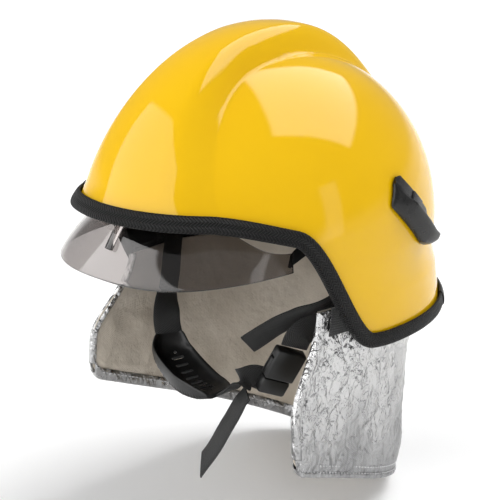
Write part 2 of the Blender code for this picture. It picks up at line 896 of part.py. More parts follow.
def make_bracket_screws(side, name):
    reach = SHELL_THICKNESS + FRAME_GAP + FRAME_THICKNESS
    for index, (y, z) in enumerate(screw_places()):
        head_depth = 0.0018
        place = screw_matrix(side, y, z, -reach - SEAT_GAP - head_depth / 2)
        screw = cylinder(
            f"bracket_screw_{name}_{index + 1}", 0.004, head_depth, place, PAINT["steel"], 12
        )
        length = reach + SEAT_GAP + head_depth / 2 + BRACKET_PLATE - 0.0012
        middle = -reach - SEAT_GAP - head_depth / 2 + length / 2
        shank = cylinder(
            f"screw_shank_{name}_{index + 1}",
            SCREW_RADIUS,
            length,
            screw_matrix(side, y, z, middle),
            PAINT["steel"],
            12,
        )
        join(screw, shank)


def bracket_section(along):
    """The bracket's section at this distance down its run, as (across, height) points: a thin
    plate behind, and a scoop that swells out of the wall in front and ends in a free lip."""
    opening = smoothstep((along - 0.003) / 0.006)
    closing = smoothstep((along - 0.052) / 0.018)
    front = 0.0093 + 0.0135 * (1 - opening) + 0.0045 * closing
    lip = 0.0200 + 0.0055 * (1 - smoothstep((along - 0.003) / 0.014)) + 0.003 * closing
    swell = smoothstep((along - 0.003) / 0.020) * (1 - 0.30 * smoothstep((along - 0.060) / 0.010))
    rise = 0.0034 + 0.0076 * swell
    plate_end = 0.0290 + 0.0035 * smoothstep((along - 0.003) / 0.004)
    plate_end += (lip + 0.0005 - plate_end) * smoothstep((along - 0.047) / 0.012)
    reach = lip - front
    inside = front + min(0.55 * reach, 0.0050)
    hollow = rise - BRACKET_PLATE
    return (
        (plate_end, BRACKET_BASE),
        (plate_end, BRACKET_PLATE),
        (max(inside + 0.0030, front + 0.6 * reach), BRACKET_PLATE),
        (inside, BRACKET_PLATE + 0.15 * hollow),
        (inside + 0.18 * reach, BRACKET_PLATE + 0.62 * hollow),
        (lip, rise - 0.0012),
        (lip + 0.0006, rise),
        (lip - 0.0008, rise + 0.0005),
        (front + 0.62 * reach, BRACKET_PLATE + 0.84 * hollow + 0.0006),
        (front + 0.20 * reach, BRACKET_PLATE + 0.46 * hollow),
        (front, BRACKET_BASE + 0.0008),
        (front, BRACKET_BASE),
    )


def make_lamp_bracket(side, name):
    """A plate on the side wall with a scoop over its front half and a raised seat for a lamp."""
    sections = []
    for i in range(BRACKET_STATIONS + 1):
        along = BRACKET_START + (BRACKET_END - BRACKET_START) * i / BRACKET_STATIONS
        section = []
        for across, height in bracket_section(along):
            section.append(wall_point(side, *bracket_place(along, across), height))
        sections.append(section)
    bracket = loft(f"lamp_bracket_{name}", sections, PAINT["bracket_plastic"])
    y, z = bracket_place(*BRACKET_MIDDLE)
    place = screw_matrix(side, y, z, LAMP_SEAT_HEIGHT / 2 + BRACKET_BASE)
    out = place.to_3x3() @ Vector((0, 0, 1))
    run = Vector((0, *BRACKET_RUN))
    run = (run - run.project(out)).normalized()
    matrix = axes_matrix(place.translation, run, out.cross(run), out)
    seat_size = (*LAMP_SEAT, LAMP_SEAT_HEIGHT)
    join(bracket, block(f"lamp_seat_{name}", seat_size, matrix, PAINT["bracket_plastic"]))
    for y, z in screw_places():
        cut(bracket, screw_hole(side, y, z))


def make_strap_anchor(side, name):
    place = along_x(side, ANCHOR_X + 0.0013, ANCHOR_Y, ANCHOR_Z)
    block(f"strap_anchor_{name}", (0.026, 0.024, 0.0026), place, PAINT["steel"], 0.0008, 1)


# ---------------------------------------------------------------- chin strap


def cup_frame(share):
    """Centre, forward and upward directions of the chin cup's section at this share of its length."""
    centres = route(CUP_ROUTE, 40)
    index = min(max(round(share * 40), 1), 39)
    centre = centres[round(share * 40)]
    along = (centres[index + 1] - centres[index - 1]).normalized()
    up = Vector((-0.02, -0.10, 1.0))
    up = (up - up.project(along)).normalized()
    front = along.cross(up).normalized()
    if front.y > 0:
        front = -front
    return centre, along, front, up


CUP_ROUTE = [
    (-0.050, -0.043, -0.1155),
    (-0.037, -0.052, -0.1290),
    (-0.002, -0.066, -0.1345),
    (0.020, -0.0715, -0.1330),
    (0.037, -0.074, -0.1280),
]


def make_chin_cup():
    sections = []
    steps = 20
    for i in range(steps + 1):
        share = i / steps
        centre, _, front, up = cup_frame(share)
        belly = sin(pi * share) ** 0.7 if 0 < share < 1 else 0.0
        back_width = 0.0105 + 0.0085 * belly
        front_width = 0.0100 + 0.0025 * belly
        wall = 0.0015 + 0.011 * belly
        outline = (
            (-back_width, 0.0024 + 0.002 * belly),
            (-back_width * 0.75, 0.0012),
            (front_width * 0.55, 0.0008),
            (front_width * 0.85, wall * 0.45),
            (front_width, wall),
            (front_width + 0.002, wall),
            (front_width + 0.0026, wall * 0.3 - 0.0010),
            (front_width * 0.80, -0.0022),
            (-back_width * 0.75, -0.0014),
            (-back_width - 0.0015, 0.0016 + 0.002 * belly),
        )
        sections.append([centre + front * out + up * rise for out, rise in outline])
    cup = loft("chin_cup", sections, PAINT["black_plastic"])
    for i in range(8):
        share = 0.27 + 0.065 * i
        centre, along, front, up = cup_frame(share)
        matrix = axes_matrix(centre - front * 0.0035, along, up.cross(along), up)
        slot = block(f"cup_slot_{i}", (0.0028, 0.0075, 0.02), matrix, PAINT["black_plastic"])
        cut(cup, slot)


def chin_strap_route():
    start = Vector((-STRAP_START_X, ANCHOR_Y - 0.005, ANCHOR_Z - 0.008))
    centre, along, _, up = cup_frame(0.0)
    end = centre - along * 0.0030
    middle = [
        (-0.0950, 0.001, -0.0640),
        (-0.0890, -0.006, -0.0780),
        (-0.0760, -0.022, -0.0940),
        (-0.0600, -0.037, -0.1085),
    ]
    return [start, *middle, end]


def make_chin_straps():
    black = PAINT["webbing"]
    side_on = Vector((-0.10, 0.95, -0.30))
    _, _, front, _ = cup_frame(0.0)
    far = chin_strap_route()
    webbing("chin_strap_right", far, [side_on] * 4 + [-front] * 2, black)

    cup_end, along, front, _ = cup_frame(1.0)
    lower_start = cup_end + along * 0.0042
    lower_end = BUCKLE_CENTRE - BUCKLE_AXIS * 0.0190 + BUCKLE_SIDE * 0.0055
    lower = [
        lower_start,
        (0.047, -0.072, -0.1225),
        lower_end - BUCKLE_ACROSS * 0.0145 + BUCKLE_SIDE * 0.0012,
        lower_end,
    ]
    webbing("chin_strap_lower", lower, [-front, -front, BUCKLE_AXIS, BUCKLE_AXIS], black, 0.018)

    tail = [(0.0535, -0.071, -0.1320), (0.049, -0.074, -0.1470), (0.041, -0.079, -0.1650)]
    tail.append((0.033, -0.084, -0.1845))
    webbing("chin_strap_tail", tail, [Vector((0.72, -0.35, 0.45))] * 4, black)

    upper_end = BUCKLE_CENTRE + BUCKLE_AXIS * (SOCKET_SIZE[2] / 2 + 0.0030)
    upper = [
        (STRAP_START_X, ANCHOR_Y - 0.005, ANCHOR_Z - 0.008),
        (0.0950, -0.007, -0.0640),
        (0.0895, -0.022, -0.0760),
        upper_end + BUCKLE_AXIS * 0.012,
        upper_end,
    ]
    webbing("chin_strap_upper", upper, [side_on] * 3 + [BUCKLE_ACROSS] * 2, black)

    spare = [
        (0.0900, 0.002, -0.0610),
        (0.0865, -0.028, -0.0660),
        (0.0770, -0.042, -0.0710),
        (0.0630, -0.050, -0.0815),
        (0.0460, -0.056, -0.0955),
    ]
    lean = Vector((0.35, 0.25, 0.90))
    webbing("strap_pull_end", spare, [Vector((0, 0.3, 0.95)), lean, lean, lean, lean], black, 0.018)


def make_buckle():
    thick = BUCKLE_ACROSS.cross(BUCKLE_AXIS).normalized()
    matrix = axes_matrix(BUCKLE_CENTRE, BUCKLE_ACROSS, thick, BUCKLE_AXIS)
    plastic = PAINT["black_plastic"]
    socket = block("buckle_socket", SOCKET_SIZE, matrix, plastic, 0.0015)
    cavity = block(
        "socket_cavity",
        (0.0260, 0.0054, 0.017),
        matrix @ Matrix.Translation((0, 0, -0.004)),
        plastic,
    )
    cut(socket, cavity)

    stem = matrix @ Matrix.Translation((0, 0, -0.0063))
    plug = block("buckle_plug", (0.0070, 0.0044, 0.0200), stem, plastic)
    foot = block(
        "plug_foot",
        (0.0210, 0.0085, 0.0120),
        matrix @ Matrix.Translation((0, 0, -SOCKET_SIZE[2] / 2 - 0.0064)),
        plastic,
        0.002,
    )
    join(plug, foot)
    for side, name in ((1, "rear"), (-1, "front")):
        at = matrix @ Matrix.Translation((side * 0.0086, 0, -0.0038))
        block(f"buckle_prong_{name}", (0.0050, 0.0044, 0.0150), at, plastic, 0.0008, 1)


# ---------------------------------------------------------------- neck protector


def protector_plan(share, height, inset):
    """Plan point of the cloth: share runs from the left front edge round the back to the right."""
    rear_half_angle = radians(90)
    straight = 0.22
    half_width = 0.1030 - 0.005 * height - inset
    rear_reach = 0.1240 - 0.0205 * height - inset
    mirrored = share > 0.5
    drift = PROTECTOR_DRIFT if mirrored else 0.0
    front_y = -0.040 - (0.027 + drift) * smoothstep(height / 0.75)
    front_x = 0.0985 + (0.0045 + drift / 2) * height - inset
    at = 1 - share if mirrored else share
    if at < straight:
        blend = at / straight
        x = front_x + (half_width - front_x) * blend
        y = front_y + (SHELL_CENTRE_Y - front_y) * blend
    else:
        angle = rear_half_angle * (at - straight) / (0.5 - straight)
        x = half_width * cos(angle)
        y = SHELL_CENTRE_Y + rear_reach * sin(angle)
    return (-x if mirrored else x), y


def protector_rows(inset, top, shorten, count, levels):
    rows = []
    for j in range(levels + 1):
        height = j / levels
        row = []
        for i in range(count + 1):
            share = i / count
            x, y = protector_plan(share, height, inset)
            slope = (PROTECTOR_REAR_HEM_Z - PROTECTOR_FRONT_HEM_Z) / (0.108 + 0.067)
            hem = PROTECTOR_FRONT_HEM_Z + (y + 0.067) * slope + shorten
            hem -= PROTECTOR_LIE * x / 0.100
            row.append(Vector((x, y, top + (hem - top) * height)))
        rows.append(row)
    return rows


def make_neck_protector():
    outer = protector_rows(0.0, PROTECTOR_TOP_Z, 0.0, 36, 5)
    surface("neck_protector_outer", outer, PAINT["aluminised"], CLOTH_THICKNESS, -1)
    inset = CLOTH_THICKNESS + LINING_GAP
    lining = protector_rows(inset, PROTECTOR_TOP_Z, 0.004, 36, 5)
    surface("neck_protector_lining", lining, PAINT["lining"], CLOTH_THICKNESS, -1)

    band_out = 0.0016
    rows = []
    for z in (-0.0530, -0.0680):
        row = []
        for i in range(37):
            share = 0.16 + 0.68 * i / 36
            x, y = protector_plan(share, 0.0, -band_out)
            row.append(Vector((x, y, z)))
        rows.append(row)
    surface("protector_band", rows, PAINT["webbing"], 0.0014, -1)
    stud_shares = (0.31, 0.43, 0.57, 0.69)
    for index, share in enumerate(stud_shares):
        x, y = protector_plan(share, 0.0, 0.0)
        ahead = Vector(protector_plan(share + 0.01, 0.0, 0.0)) - Vector((x, y))
        out = Vector((ahead.y, -ahead.x, 0)).normalized()
        if out.dot(Vector((x, y, 0))) < 0:
            out = -out
        at = Vector((x, y, -0.051)) + out * 0.0052
        turn = out.to_track_quat("Z", "Y").to_matrix().to_4x4()
        cylinder(
            f"protector_stud_{index + 1}",
            0.0055,
            0.002,
            Matrix.Translation(at) @ turn,
            PAINT["steel"],
            14,
        )
    for side, name in ((1, "left"), (-1, "right")):
        rows = []
        for z in (-0.0615, -0.0710, -0.0805):
            row = []
            for i in range(4):
                share = 0.035 + 0.105 * i / 3
                height = (PROTECTOR_TOP_Z - z) / 0.10
                x, y = protector_plan(share, max(height, 0.0), -0.0026)
                row.append(Vector((side * x, y, z)))
            rows.append(row)
        surface(f"protector_tab_{name}", rows, PAINT["webbing"], 0.0012, 0)


# ---------------------------------------------------------------- the helmet


clear_scene()
PARTS = new_collection("Firefighter helmet")
CUTTERS = new_collection("Cutters", hidden=True)
PAINT = {
    "yellow": material("Yellow gloss shell", (0.93, 0.56, 0.03), 0.12),
    "rubber": material("Black ribbed rubber", (0.020, 0.020, 0.019), 0.65),
    "smooth_rubber": material("Black smooth rubber", (0.030, 0.030, 0.029), 0.50),
    "black_plastic": material("Black plastic", (0.013, 0.013, 0.014), 0.38),
    "bracket_plastic": material("Black bracket plastic", (0.030, 0.031, 0.028), 0.34),
    "foam": material("Grey impact foam", (0.045, 0.045, 0.048), 0.90),
    "lens": material("Tinted clear lens", (0.78, 0.62, 0.58), 0.04, transmission=0.9),
    "leather": material("Tan leather", (0.28, 0.11, 0.035), 0.60),
    "webbing": material("Black webbing", (0.010, 0.010, 0.011), 0.80),
    "aluminised": material("Aluminised fabric", (0.75, 0.75, 0.76), 0.30, metallic=0.9),
    "lining": material("Beige lining", (0.33, 0.29, 0.23), 0.90),
    "steel": material("Zinc plated steel", (0.55, 0.56, 0.58), 0.35, metallic=1.0),
}

make_shell()
make_trim()
make_liner()
make_headband()
make_ratchet()
make_cradle()
make_lens()
for SIDE, NAME in ((1, "left"), (-1, "right")):
    make_visor_arm(SIDE, NAME)
    make_visor_pivot(SIDE, NAME)
    make_side_frame(SIDE, NAME)
    make_lamp_bracket(SIDE, NAME)
    make_bracket_screws(SIDE, NAME)
    make_strap_anchor(SIDE, NAME)
make_chin_cup()
make_chin_straps()
make_buckle()
make_neck_protector()
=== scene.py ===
from math import cos, pi, radians, sin

import bmesh
import bpy
import numpy as np
from mathutils import Matrix, Vector, noise


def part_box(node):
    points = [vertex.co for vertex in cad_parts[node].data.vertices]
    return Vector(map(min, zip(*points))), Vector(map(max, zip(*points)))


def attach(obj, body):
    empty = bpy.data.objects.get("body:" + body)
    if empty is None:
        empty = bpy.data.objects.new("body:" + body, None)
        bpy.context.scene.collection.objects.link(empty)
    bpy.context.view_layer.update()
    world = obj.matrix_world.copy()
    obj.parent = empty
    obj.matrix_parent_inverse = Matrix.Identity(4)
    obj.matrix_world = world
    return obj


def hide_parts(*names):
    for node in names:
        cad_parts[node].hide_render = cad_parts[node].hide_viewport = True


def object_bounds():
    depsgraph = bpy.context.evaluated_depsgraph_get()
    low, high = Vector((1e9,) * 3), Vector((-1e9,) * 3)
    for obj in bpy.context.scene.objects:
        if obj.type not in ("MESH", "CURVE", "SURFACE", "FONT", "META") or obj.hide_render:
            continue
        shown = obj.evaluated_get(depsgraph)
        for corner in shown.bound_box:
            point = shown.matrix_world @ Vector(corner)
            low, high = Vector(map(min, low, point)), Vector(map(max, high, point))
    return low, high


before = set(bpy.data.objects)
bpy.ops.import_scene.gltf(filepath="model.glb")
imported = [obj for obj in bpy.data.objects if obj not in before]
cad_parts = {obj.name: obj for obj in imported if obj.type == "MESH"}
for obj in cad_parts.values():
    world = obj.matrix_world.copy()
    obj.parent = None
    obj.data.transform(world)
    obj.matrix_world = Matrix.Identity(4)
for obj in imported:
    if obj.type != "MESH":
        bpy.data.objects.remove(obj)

CAD_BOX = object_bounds()

# Firefighter helmet: the looks. Metres, +Z up; the wearer faces -Y and +X is the wearer's left.

# Shell
HALF_WIDTH = 0.1155
HALF_LENGTH = 0.1385
CENTRE_Y = 0.0045
EQUATOR_Z = -0.029
DOME_HEIGHT = 0.129
WALL_SPAN = 0.062
SHELL_THICKNESS = 0.0032
BROW_EDGE_Z = 0.0010
SIDE_EDGE_Z = -0.0888
TEMPLE_FALL = (-57, 60, 0.28)
EAR_FALL = (-30, 25, 0.72)
CREST_HEIGHT = 0.0176
CREST_GROWTH_ANGLE = 66
CREST_BROW_HEIGHT = 0.0052
CREST_TOP_HALF_WIDTH = 0.029
CREST_BROW_HALF_WIDTH = 0.072
CREST_SHOULDER = 0.47
LIP_REACH = 0.016

# Edge trim
TRIM_SLOT_GAP = 0.0008
TRIM_INNER_LEG = 0.0022
TRIM_FACE = (0.0052, 0.0036, 0.0040)
GUARD_FACE = (0.0062, 0.0046, 0.0040)
GUARD_START = 40
GUARD_END = 140
GUARD_GAP = 0.2

# Eye shield
LENS_EDGE_Z = -0.034
LENS_CENTRE_Y = -0.045
LENS_HALF_WIDTH = 0.0915
LENS_REACH = 0.1025
LENS_NARROWING = 0.25
LENS_DIP = 0.004
LENS_LEAN = 0.675
LENS_END_ANGLE = 86
LENS_FRONT_RISE = 0.068
LENS_END_RISE = 0.012
LENS_THICKNESS = 0.002

# Lamp bracket, measured along its run down the side wall and across it
BRACKET_RUN = (0.727, -0.687)
BRACKET_ACROSS = (0.687, 0.727)
BRACKET_LENGTH = (0.003, 0.063)
BRACKET_SECTIONS = 49
BRACKET_BASE = 0.0009
BRACKET_PLATE = 0.0026
BRACKET_LIP = 0.00121
BRACKET_MIDDLE = (0.031, 0.0275)
LAMP_SEAT = (0.014, 0.010, 0.0026)

# Chin strap
WEBBING_WIDTH = 0.020
NARROW_WEBBING = 0.018
WEBBING_THICKNESS = 0.0016
WEBBING_STEPS = 90
STRAP_START = Vector((0.0988, 0.007, -0.048))
BUCKLE_CENTRE = Vector((0.073, -0.048, -0.1045))
BUCKLE_AXIS = Vector((0.407, 0.224, 0.886)).normalized()
BUCKLE_ACROSS = Vector((0.327, 0.869, -0.370)).normalized()
BUCKLE_SIDE = Vector((-0.80, 0.40, 0.25)).normalized()
SOCKET_LENGTH = 0.023

# Chin cup: each cut is (share along the cup, distance behind its centre, (width, length))
CUP_ROUTE = [
    (-0.050, -0.043, -0.1155),
    (-0.037, -0.052, -0.1290),
    (-0.002, -0.066, -0.1345),
    (0.020, -0.0715, -0.1330),
    (0.037, -0.074, -0.1280),
]
CUP_ROUTE_STEPS = 160
CUP_STEPS = 120
CUP_RIBS = 26
CUP_SLOTS = [(0.27 + 0.065 * i, 0.0035, (0.0036, 0.0095)) for i in range(8)]
CUP_HOLES = [(share, 0.0030, (0.0024, 0.0024)) for share in (0.205, 0.79)]

# Neck protector: each size pair is the size at its top and the change from there to its hem
CLOTH_COLUMNS = 260
CLOTH_THICKNESS = 0.0011
FOLD_THICKNESS = 0.0006
LINING_INSET = 0.0026
LINING_SHORTER = 0.004
PROTECTOR_TOP_Z = -0.064
PROTECTOR_DROP = 0.12
PROTECTOR_STRAIGHT = 0.22
PROTECTOR_HALF_WIDTH = (0.1030, -0.0050)
PROTECTOR_REAR_REACH = (0.1240, -0.0205)
PROTECTOR_FRONT_X = (0.0985, 0.0045)
PROTECTOR_FRONT_Y = (-0.040, -0.027)
# The hem runs between two points, each (y, z)
FRONT_HEM = (-0.067, -0.165)
REAR_HEM = (0.108, -0.232)
PROTECTOR_TILT = 0.05
PROTECTOR_DRIFT = 0.008
PROTECTOR_CORNER = 0.011
PROTECTOR_LENGTH = 0.47
HEM_PROFILE = (
    (-0.0007, 0.0040), (-0.0007, 0.0004), (0.0006, -0.0007), (0.0034, -0.0007),
    (0.0047, 0.0006), (0.0048, 0.0040), (0.0048, 0.0110),
)
FRONT_PROFILE = (
    (-0.0007, 0.0060), (-0.0007, 0.0004), (0.0006, -0.0008), (0.0034, -0.0008),
    (0.0047, 0.0006), (0.0048, 0.0030),
)
LINING_CALM = (-0.125, -0.105)
HEM_STITCHES = ((0.0035, -0.0004), (0.0085, -0.0004), (0.0062, 0.0056))
FRONT_STITCHES = (0.010, 0.020)

# Leather pads
BAND_CENTRE_Y = 0.013
BAND_HALF_WIDTH = 0.0795
BAND_HALF_LENGTH = 0.0995
BROW_END_ANGLE = 64.5
BROW_FACES = (0.0021, 0.0046)
NAPE_CENTRE_Y = 0.0477
NAPE_RADII = (0.0631, 0.0595)
NAPE_END_ANGLE = 26
NAPE_Z = (-0.022, 0.013)
PAD_BULGE = 0.0012

# Camera
CAMERA_DISTANCE = 0.940
CAMERA_AZIMUTH = radians(45)
CAMERA_ELEVATION = radians(13.5)
CAMERA_LENS = 94.0
CAMERA_SHIFT = (-0.016, -0.132)

# CAD nodes that stay
WELD_DISTANCE = 0.00001
SHARP_ANGLE = radians(34)

# Stage: a soft box is its azimuth, elevation, half width and half height in degrees, and brightness
SOFT_BOXES = (
    (-22, 28, 40, 23, 2.4),
    (162, 60, 26, 21, 4.0),
    (106, 13, 5, 14, 1.3),
)
ROOM_BRIGHTNESS = 0.34
HORIZON_GLOW = (0.02, 0.16)
BOX_BORDER = 0.03
FLOOR_GAP = 0.0015
FLOOR_REACH = 12.0


# ---------------------------------------------------------------- materials


class Graph:
    """A node tree, with short ways to add nodes to it."""

    def __init__(self, tree):
        self.tree = tree

    def node(self, kind, links=None, values=None, **settings):
        made = self.tree.nodes.new(kind)
        for key, value in settings.items():
            setattr(made, key, value)
        for socket, value in (values or {}).items():
            made.inputs[socket].default_value = value
        for socket, source in (links or {}).items():
            self.tree.links.new(source, made.inputs[socket])
        return made

    def math(self, operation, first, second=0.0, third=0.0):
        made = self.node("ShaderNodeMath", operation=operation)
        for index, value in enumerate((first, second, third)):
            if isinstance(value, (int, float)):
                made.inputs[index].default_value = value
            else:
                self.tree.links.new(value, made.inputs[index])
        return made.outputs[0]


class Shade(Graph):
    """A Principled material and its texture nodes."""

    def __init__(self, name, colour, roughness, **sockets):
        self.material = bpy.data.materials.new(name)
        self.material.use_nodes = True
        self.material.diffuse_color = (*colour, 1.0)
        super().__init__(self.material.node_tree)
        self.shader = self.tree.nodes["Principled BSDF"]
        self.shader.inputs["Base Color"].default_value = (*colour, 1.0)
        self.shader.inputs["Roughness"].default_value = roughness
        for socket, value in sockets.items():
            self.shader.inputs[socket.replace("_", " ")].default_value = value

    def place(self):
        """The point on the object, in metres."""
        return self.node("ShaderNodeTexCoord").outputs["Object"]

    def fabric(self):
        """The cloth's own coordinates in metres: across, along."""
        return self.node("ShaderNodeAttribute", attribute_name="fabric").outputs["Vector"]

    def noise(self, where, scale, detail=4.0, rough=0.55):
        values = {"Scale": scale, "Detail": detail, "Roughness": rough}
        return self.node("ShaderNodeTexNoise", {"Vector": where}, values).outputs[0]

    def cells(self, where, scale):
        """The distance to the nearest edge between cells."""
        values = {"Scale": scale}
        made = self.node("ShaderNodeTexVoronoi", {"Vector": where}, values, feature="DISTANCE_TO_EDGE")
        return made.outputs["Distance"]

    def wave(self, along, pitch):
        return self.math("SINE", self.math("MULTIPLY", along, 2 * pi / pitch))

    def weave(self, first, second, pitch):
        """A plain weave over two coordinates, from -1 to 1."""
        return self.math("MULTIPLY", self.wave(first, pitch), self.wave(second, pitch))

    def parts(self, vector):
        return self.node("ShaderNodeSeparateXYZ", {"Vector": vector}).outputs

    def warped(self, where, scale, amount):
        """The place, pushed about by noise."""
        values = {"Scale": scale, "Detail": 3.0}
        push = self.node("ShaderNodeTexNoise", {"Vector": where}, values).outputs["Color"]
        centred = self.node(
            "ShaderNodeVectorMath", {0: push}, {1: (0.5, 0.5, 0.5)}, operation="SUBTRACT"
        ).outputs[0]
        made = self.node("ShaderNodeVectorMath", {0: centred, 2: where}, operation="MULTIPLY_ADD")
        made.inputs[1].default_value = (amount,) * 3
        return made.outputs[0]

    def ramp(self, factor, *stops):
        """Stops are (position, colour), where a colour may be a single grey."""
        made = self.node("ShaderNodeValToRGB", {"Fac": factor})
        elements = made.color_ramp.elements
        while len(elements) < len(stops):
            elements.new(0.5)
        for element, (position, colour) in zip(elements, stops):
            element.position = position
            element.color = (*colour, 1.0) if isinstance(colour, tuple) else (colour,) * 3 + (1.0,)
        return made.outputs["Color"]

    def paint(self, colour):
        self.tree.links.new(colour, self.shader.inputs["Base Color"])

    def gloss(self, roughness):
        self.tree.links.new(roughness, self.shader.inputs["Roughness"])

    def bump(self, *layers):
        """Layers of (height, distance in metres), laid over each other."""
        normal = None
        for height, distance in layers:
            links = {"Height": height}
            if normal is not None:
                links["Normal"] = normal
            made = self.node("ShaderNodeBump", links, {"Distance": distance, "Strength": 1.0})
            normal = made.outputs["Normal"]
        self.tree.links.new(normal, self.shader.inputs["Normal"])


def yellow_gloss():
    shade = Shade(
        "Yellow gloss shell", (0.76, 0.45, 0.003), 0.40,
        Coat_Weight=1.0, Coat_Roughness=0.05, Coat_IOR=1.40, Specular_IOR_Level=0.0,
    )
    where = shade.place()
    tone = shade.noise(where, 9.0, 2.0)
    shade.paint(shade.ramp(tone, (0.3, (0.74, 0.430, 0.001)), (0.7, (0.78, 0.465, 0.003))))
    shade.bump((shade.noise(where, 220.0, 1.0), 0.00002), (shade.noise(where, 28.0, 1.0), 0.00012))
    return shade.material


def herringbone_rubber():
    """Ribs that slant one way and then the other across the trim's face."""
    shade = Shade("Black herringbone rubber", (0.034, 0.034, 0.033), 0.55, Specular_IOR_Level=0.22)
    across, along, _ = shade.parts(shade.fabric())
    zigzag = shade.math("PINGPONG", across, 0.0030)
    rib = shade.wave(shade.math("ADD", along, zigzag), 0.0023)
    shade.paint(shade.ramp(rib, (0.0, 0.002), (0.9, 0.017)))
    shade.bump((shade.noise(shade.place(), 2500.0, 2.0), 0.00008), (rib, 0.00060))
    return shade.material


def smooth_rubber():
    shade = Shade("Black smooth rubber", (0.030, 0.030, 0.029), 0.50, Specular_IOR_Level=0.25)
    where = shade.place()
    shade.paint(shade.ramp(shade.noise(where, 120.0), (0.3, 0.008), (0.7, 0.014)))
    shade.bump((shade.noise(where, 1800.0, 2.0), 0.00006))
    return shade.material


def black_plastic(name="Black moulded plastic", roughness=0.36, tone=0.010):
    shade = Shade(name, (tone, tone, tone * 1.04), roughness, Specular_IOR_Level=0.34)
    where = shade.place()
    wear = shade.noise(where, 45.0, 5.0)
    shade.paint(shade.ramp(wear, (0.35, tone * 0.8), (0.75, tone * 1.5)))
    shade.gloss(shade.ramp(wear, (0.3, roughness - 0.07), (0.8, roughness + 0.10)))
    shade.bump((shade.noise(where, 2200.0, 1.0), 0.00005))
    return shade.material


def woven_webbing():
    """Black webbing: fine ribs across with a twill along, on the strap's own coordinates."""
    shade = Shade("Black woven webbing", (0.008, 0.008, 0.009), 0.75, Sheen_Weight=0.1)
    across, along, _ = shade.parts(shade.fabric())
    slant = shade.math("ADD", across, shade.math("MULTIPLY", along, 0.5))
    weave = shade.math("MULTIPLY", shade.wave(along, 0.0011), shade.wave(slant, 0.0016))
    selvedge = shade.math("GREATER_THAN", shade.math("ABSOLUTE", across), 0.0083)
    tone = shade.math("ADD", weave, shade.math("MULTIPLY", selvedge, 0.35))
    shade.paint(shade.ramp(tone, (0.0, 0.002), (1.0, 0.011)))
    shade.bump((weave, 0.00018), (shade.noise(shade.place(), 3000.0, 2.0), 0.00008))
    return shade.material


def woven_tape():
    """A plain weave on the object's own axes, for straps whose mesh has no cloth coordinates."""
    shade = Shade("Black woven tape", (0.022,) * 3, 0.85, Sheen_Weight=0.3)
    where = shade.place()
    x, y, z = shade.parts(where)
    weave = shade.weave(shade.math("ADD", x, y), shade.math("SUBTRACT", z, y), 0.0016)
    shade.paint(shade.ramp(weave, (0.0, 0.006), (1.0, 0.022)))
    shade.bump((weave, 0.00015), (shade.noise(where, 2600.0, 2.0), 0.00008))
    return shade.material


def ridges(shade, where, scale, sharpness):
    """Thin lines where a noise crosses its middle: 1 on a line, 0 away from it."""
    level = shade.math("ABSOLUTE", shade.math("SUBTRACT", shade.noise(where, scale, 3.0, 0.6), 0.5))
    return shade.math("MAXIMUM", shade.math("MULTIPLY_ADD", level, -sharpness, 1.0), 0.0)


def aluminised_cloth():
    """Metal foil on glass cloth: flat facets between slanting creases with painted shade along
    them, and a lower part that is darker and rougher, where the weave shows through."""
    shade = Shade("Aluminised fabric", (0.88, 0.88, 0.89), 0.24, Metallic=1.0)
    where = shade.place()
    across, along, _ = shade.parts(shade.fabric())
    turn = {"Rotation": (0.75, 0.20, 0.0), "Scale": (1.2, 1.5, 0.95)}
    slanted = shade.node("ShaderNodeMapping", {"Vector": where}, turn).outputs[0]
    large = shade.cells(shade.warped(slanted, 40.0, 0.010), 52.0)
    small = shade.cells(shade.warped(slanted, 90.0, 0.004), 150.0)
    crease = ridges(shade, shade.warped(slanted, 50.0, 0.008), 60.0, 26.0)
    weave = shade.weave(across, along, 0.0016)
    _, _, up = shade.parts(where)
    soft = shade.noise(shade.warped(slanted, 12.0, 0.03), 14.0, 3.0)
    low = shade.math("MULTIPLY_ADD", up, -9.0, shade.math("MULTIPLY_ADD", soft, 2.0, -2.05))
    lower_part = shade.math("MINIMUM", shade.math("MAXIMUM", low, 0.0), 1.0)
    # Painted shade along the creases, and a darker colour towards the bottom of the curtain.
    crease_shade_and_bottom_darkening = shade.math("MULTIPLY_ADD", lower_part, 0.42, shade.math("MULTIPLY", crease, 0.07))
    tone = shade.math("SUBTRACT", 1.0, crease_shade_and_bottom_darkening)
    tone = shade.math("MULTIPLY_ADD", shade.math("MULTIPLY", weave, lower_part), 0.16, tone)
    shade.paint(shade.ramp(tone, (0.10, (0.06, 0.06, 0.063)), (0.55, (0.24, 0.24, 0.245)), (1.0, 0.56)))
    shade.gloss(shade.ramp(lower_part, (0.0, 0.21), (1.0, 0.36)))
    shade.bump((large, 0.0048), (small, 0.0014), (crease, 0.0003), (weave, 0.00004))
    return shade.material


def beige_lining():
    shade = Shade("Beige cotton lining", (0.36, 0.32, 0.27), 0.92, Sheen_Weight=0.2)
    across, along, _ = shade.parts(shade.fabric())
    weave = shade.weave(across, along, 0.0012)
    where = shade.place()
    tone = shade.noise(where, 22.0, 5.0)
    shade.paint(shade.ramp(tone, (0.30, (0.52, 0.458, 0.375)), (0.70, (0.70, 0.636, 0.546))))
    shade.bump((shade.noise(where, 55.0, 4.0), 0.0034), (weave, 0.00014))
    return shade.material


def tan_leather():
    shade = Shade("Tan leather", (0.34, 0.13, 0.04), 0.50)
    where = shade.place()
    grain = shade.cells(shade.warped(where, 500.0, 0.0008), 900.0)
    patches = shade.noise(where, 60.0, 4.0)
    shade.paint(shade.ramp(patches, (0.3, (0.26, 0.085, 0.022)), (0.7, (0.48, 0.19, 0.055))))
    shade.bump((patches, 0.0008), (grain, 0.00035))
    return shade.material


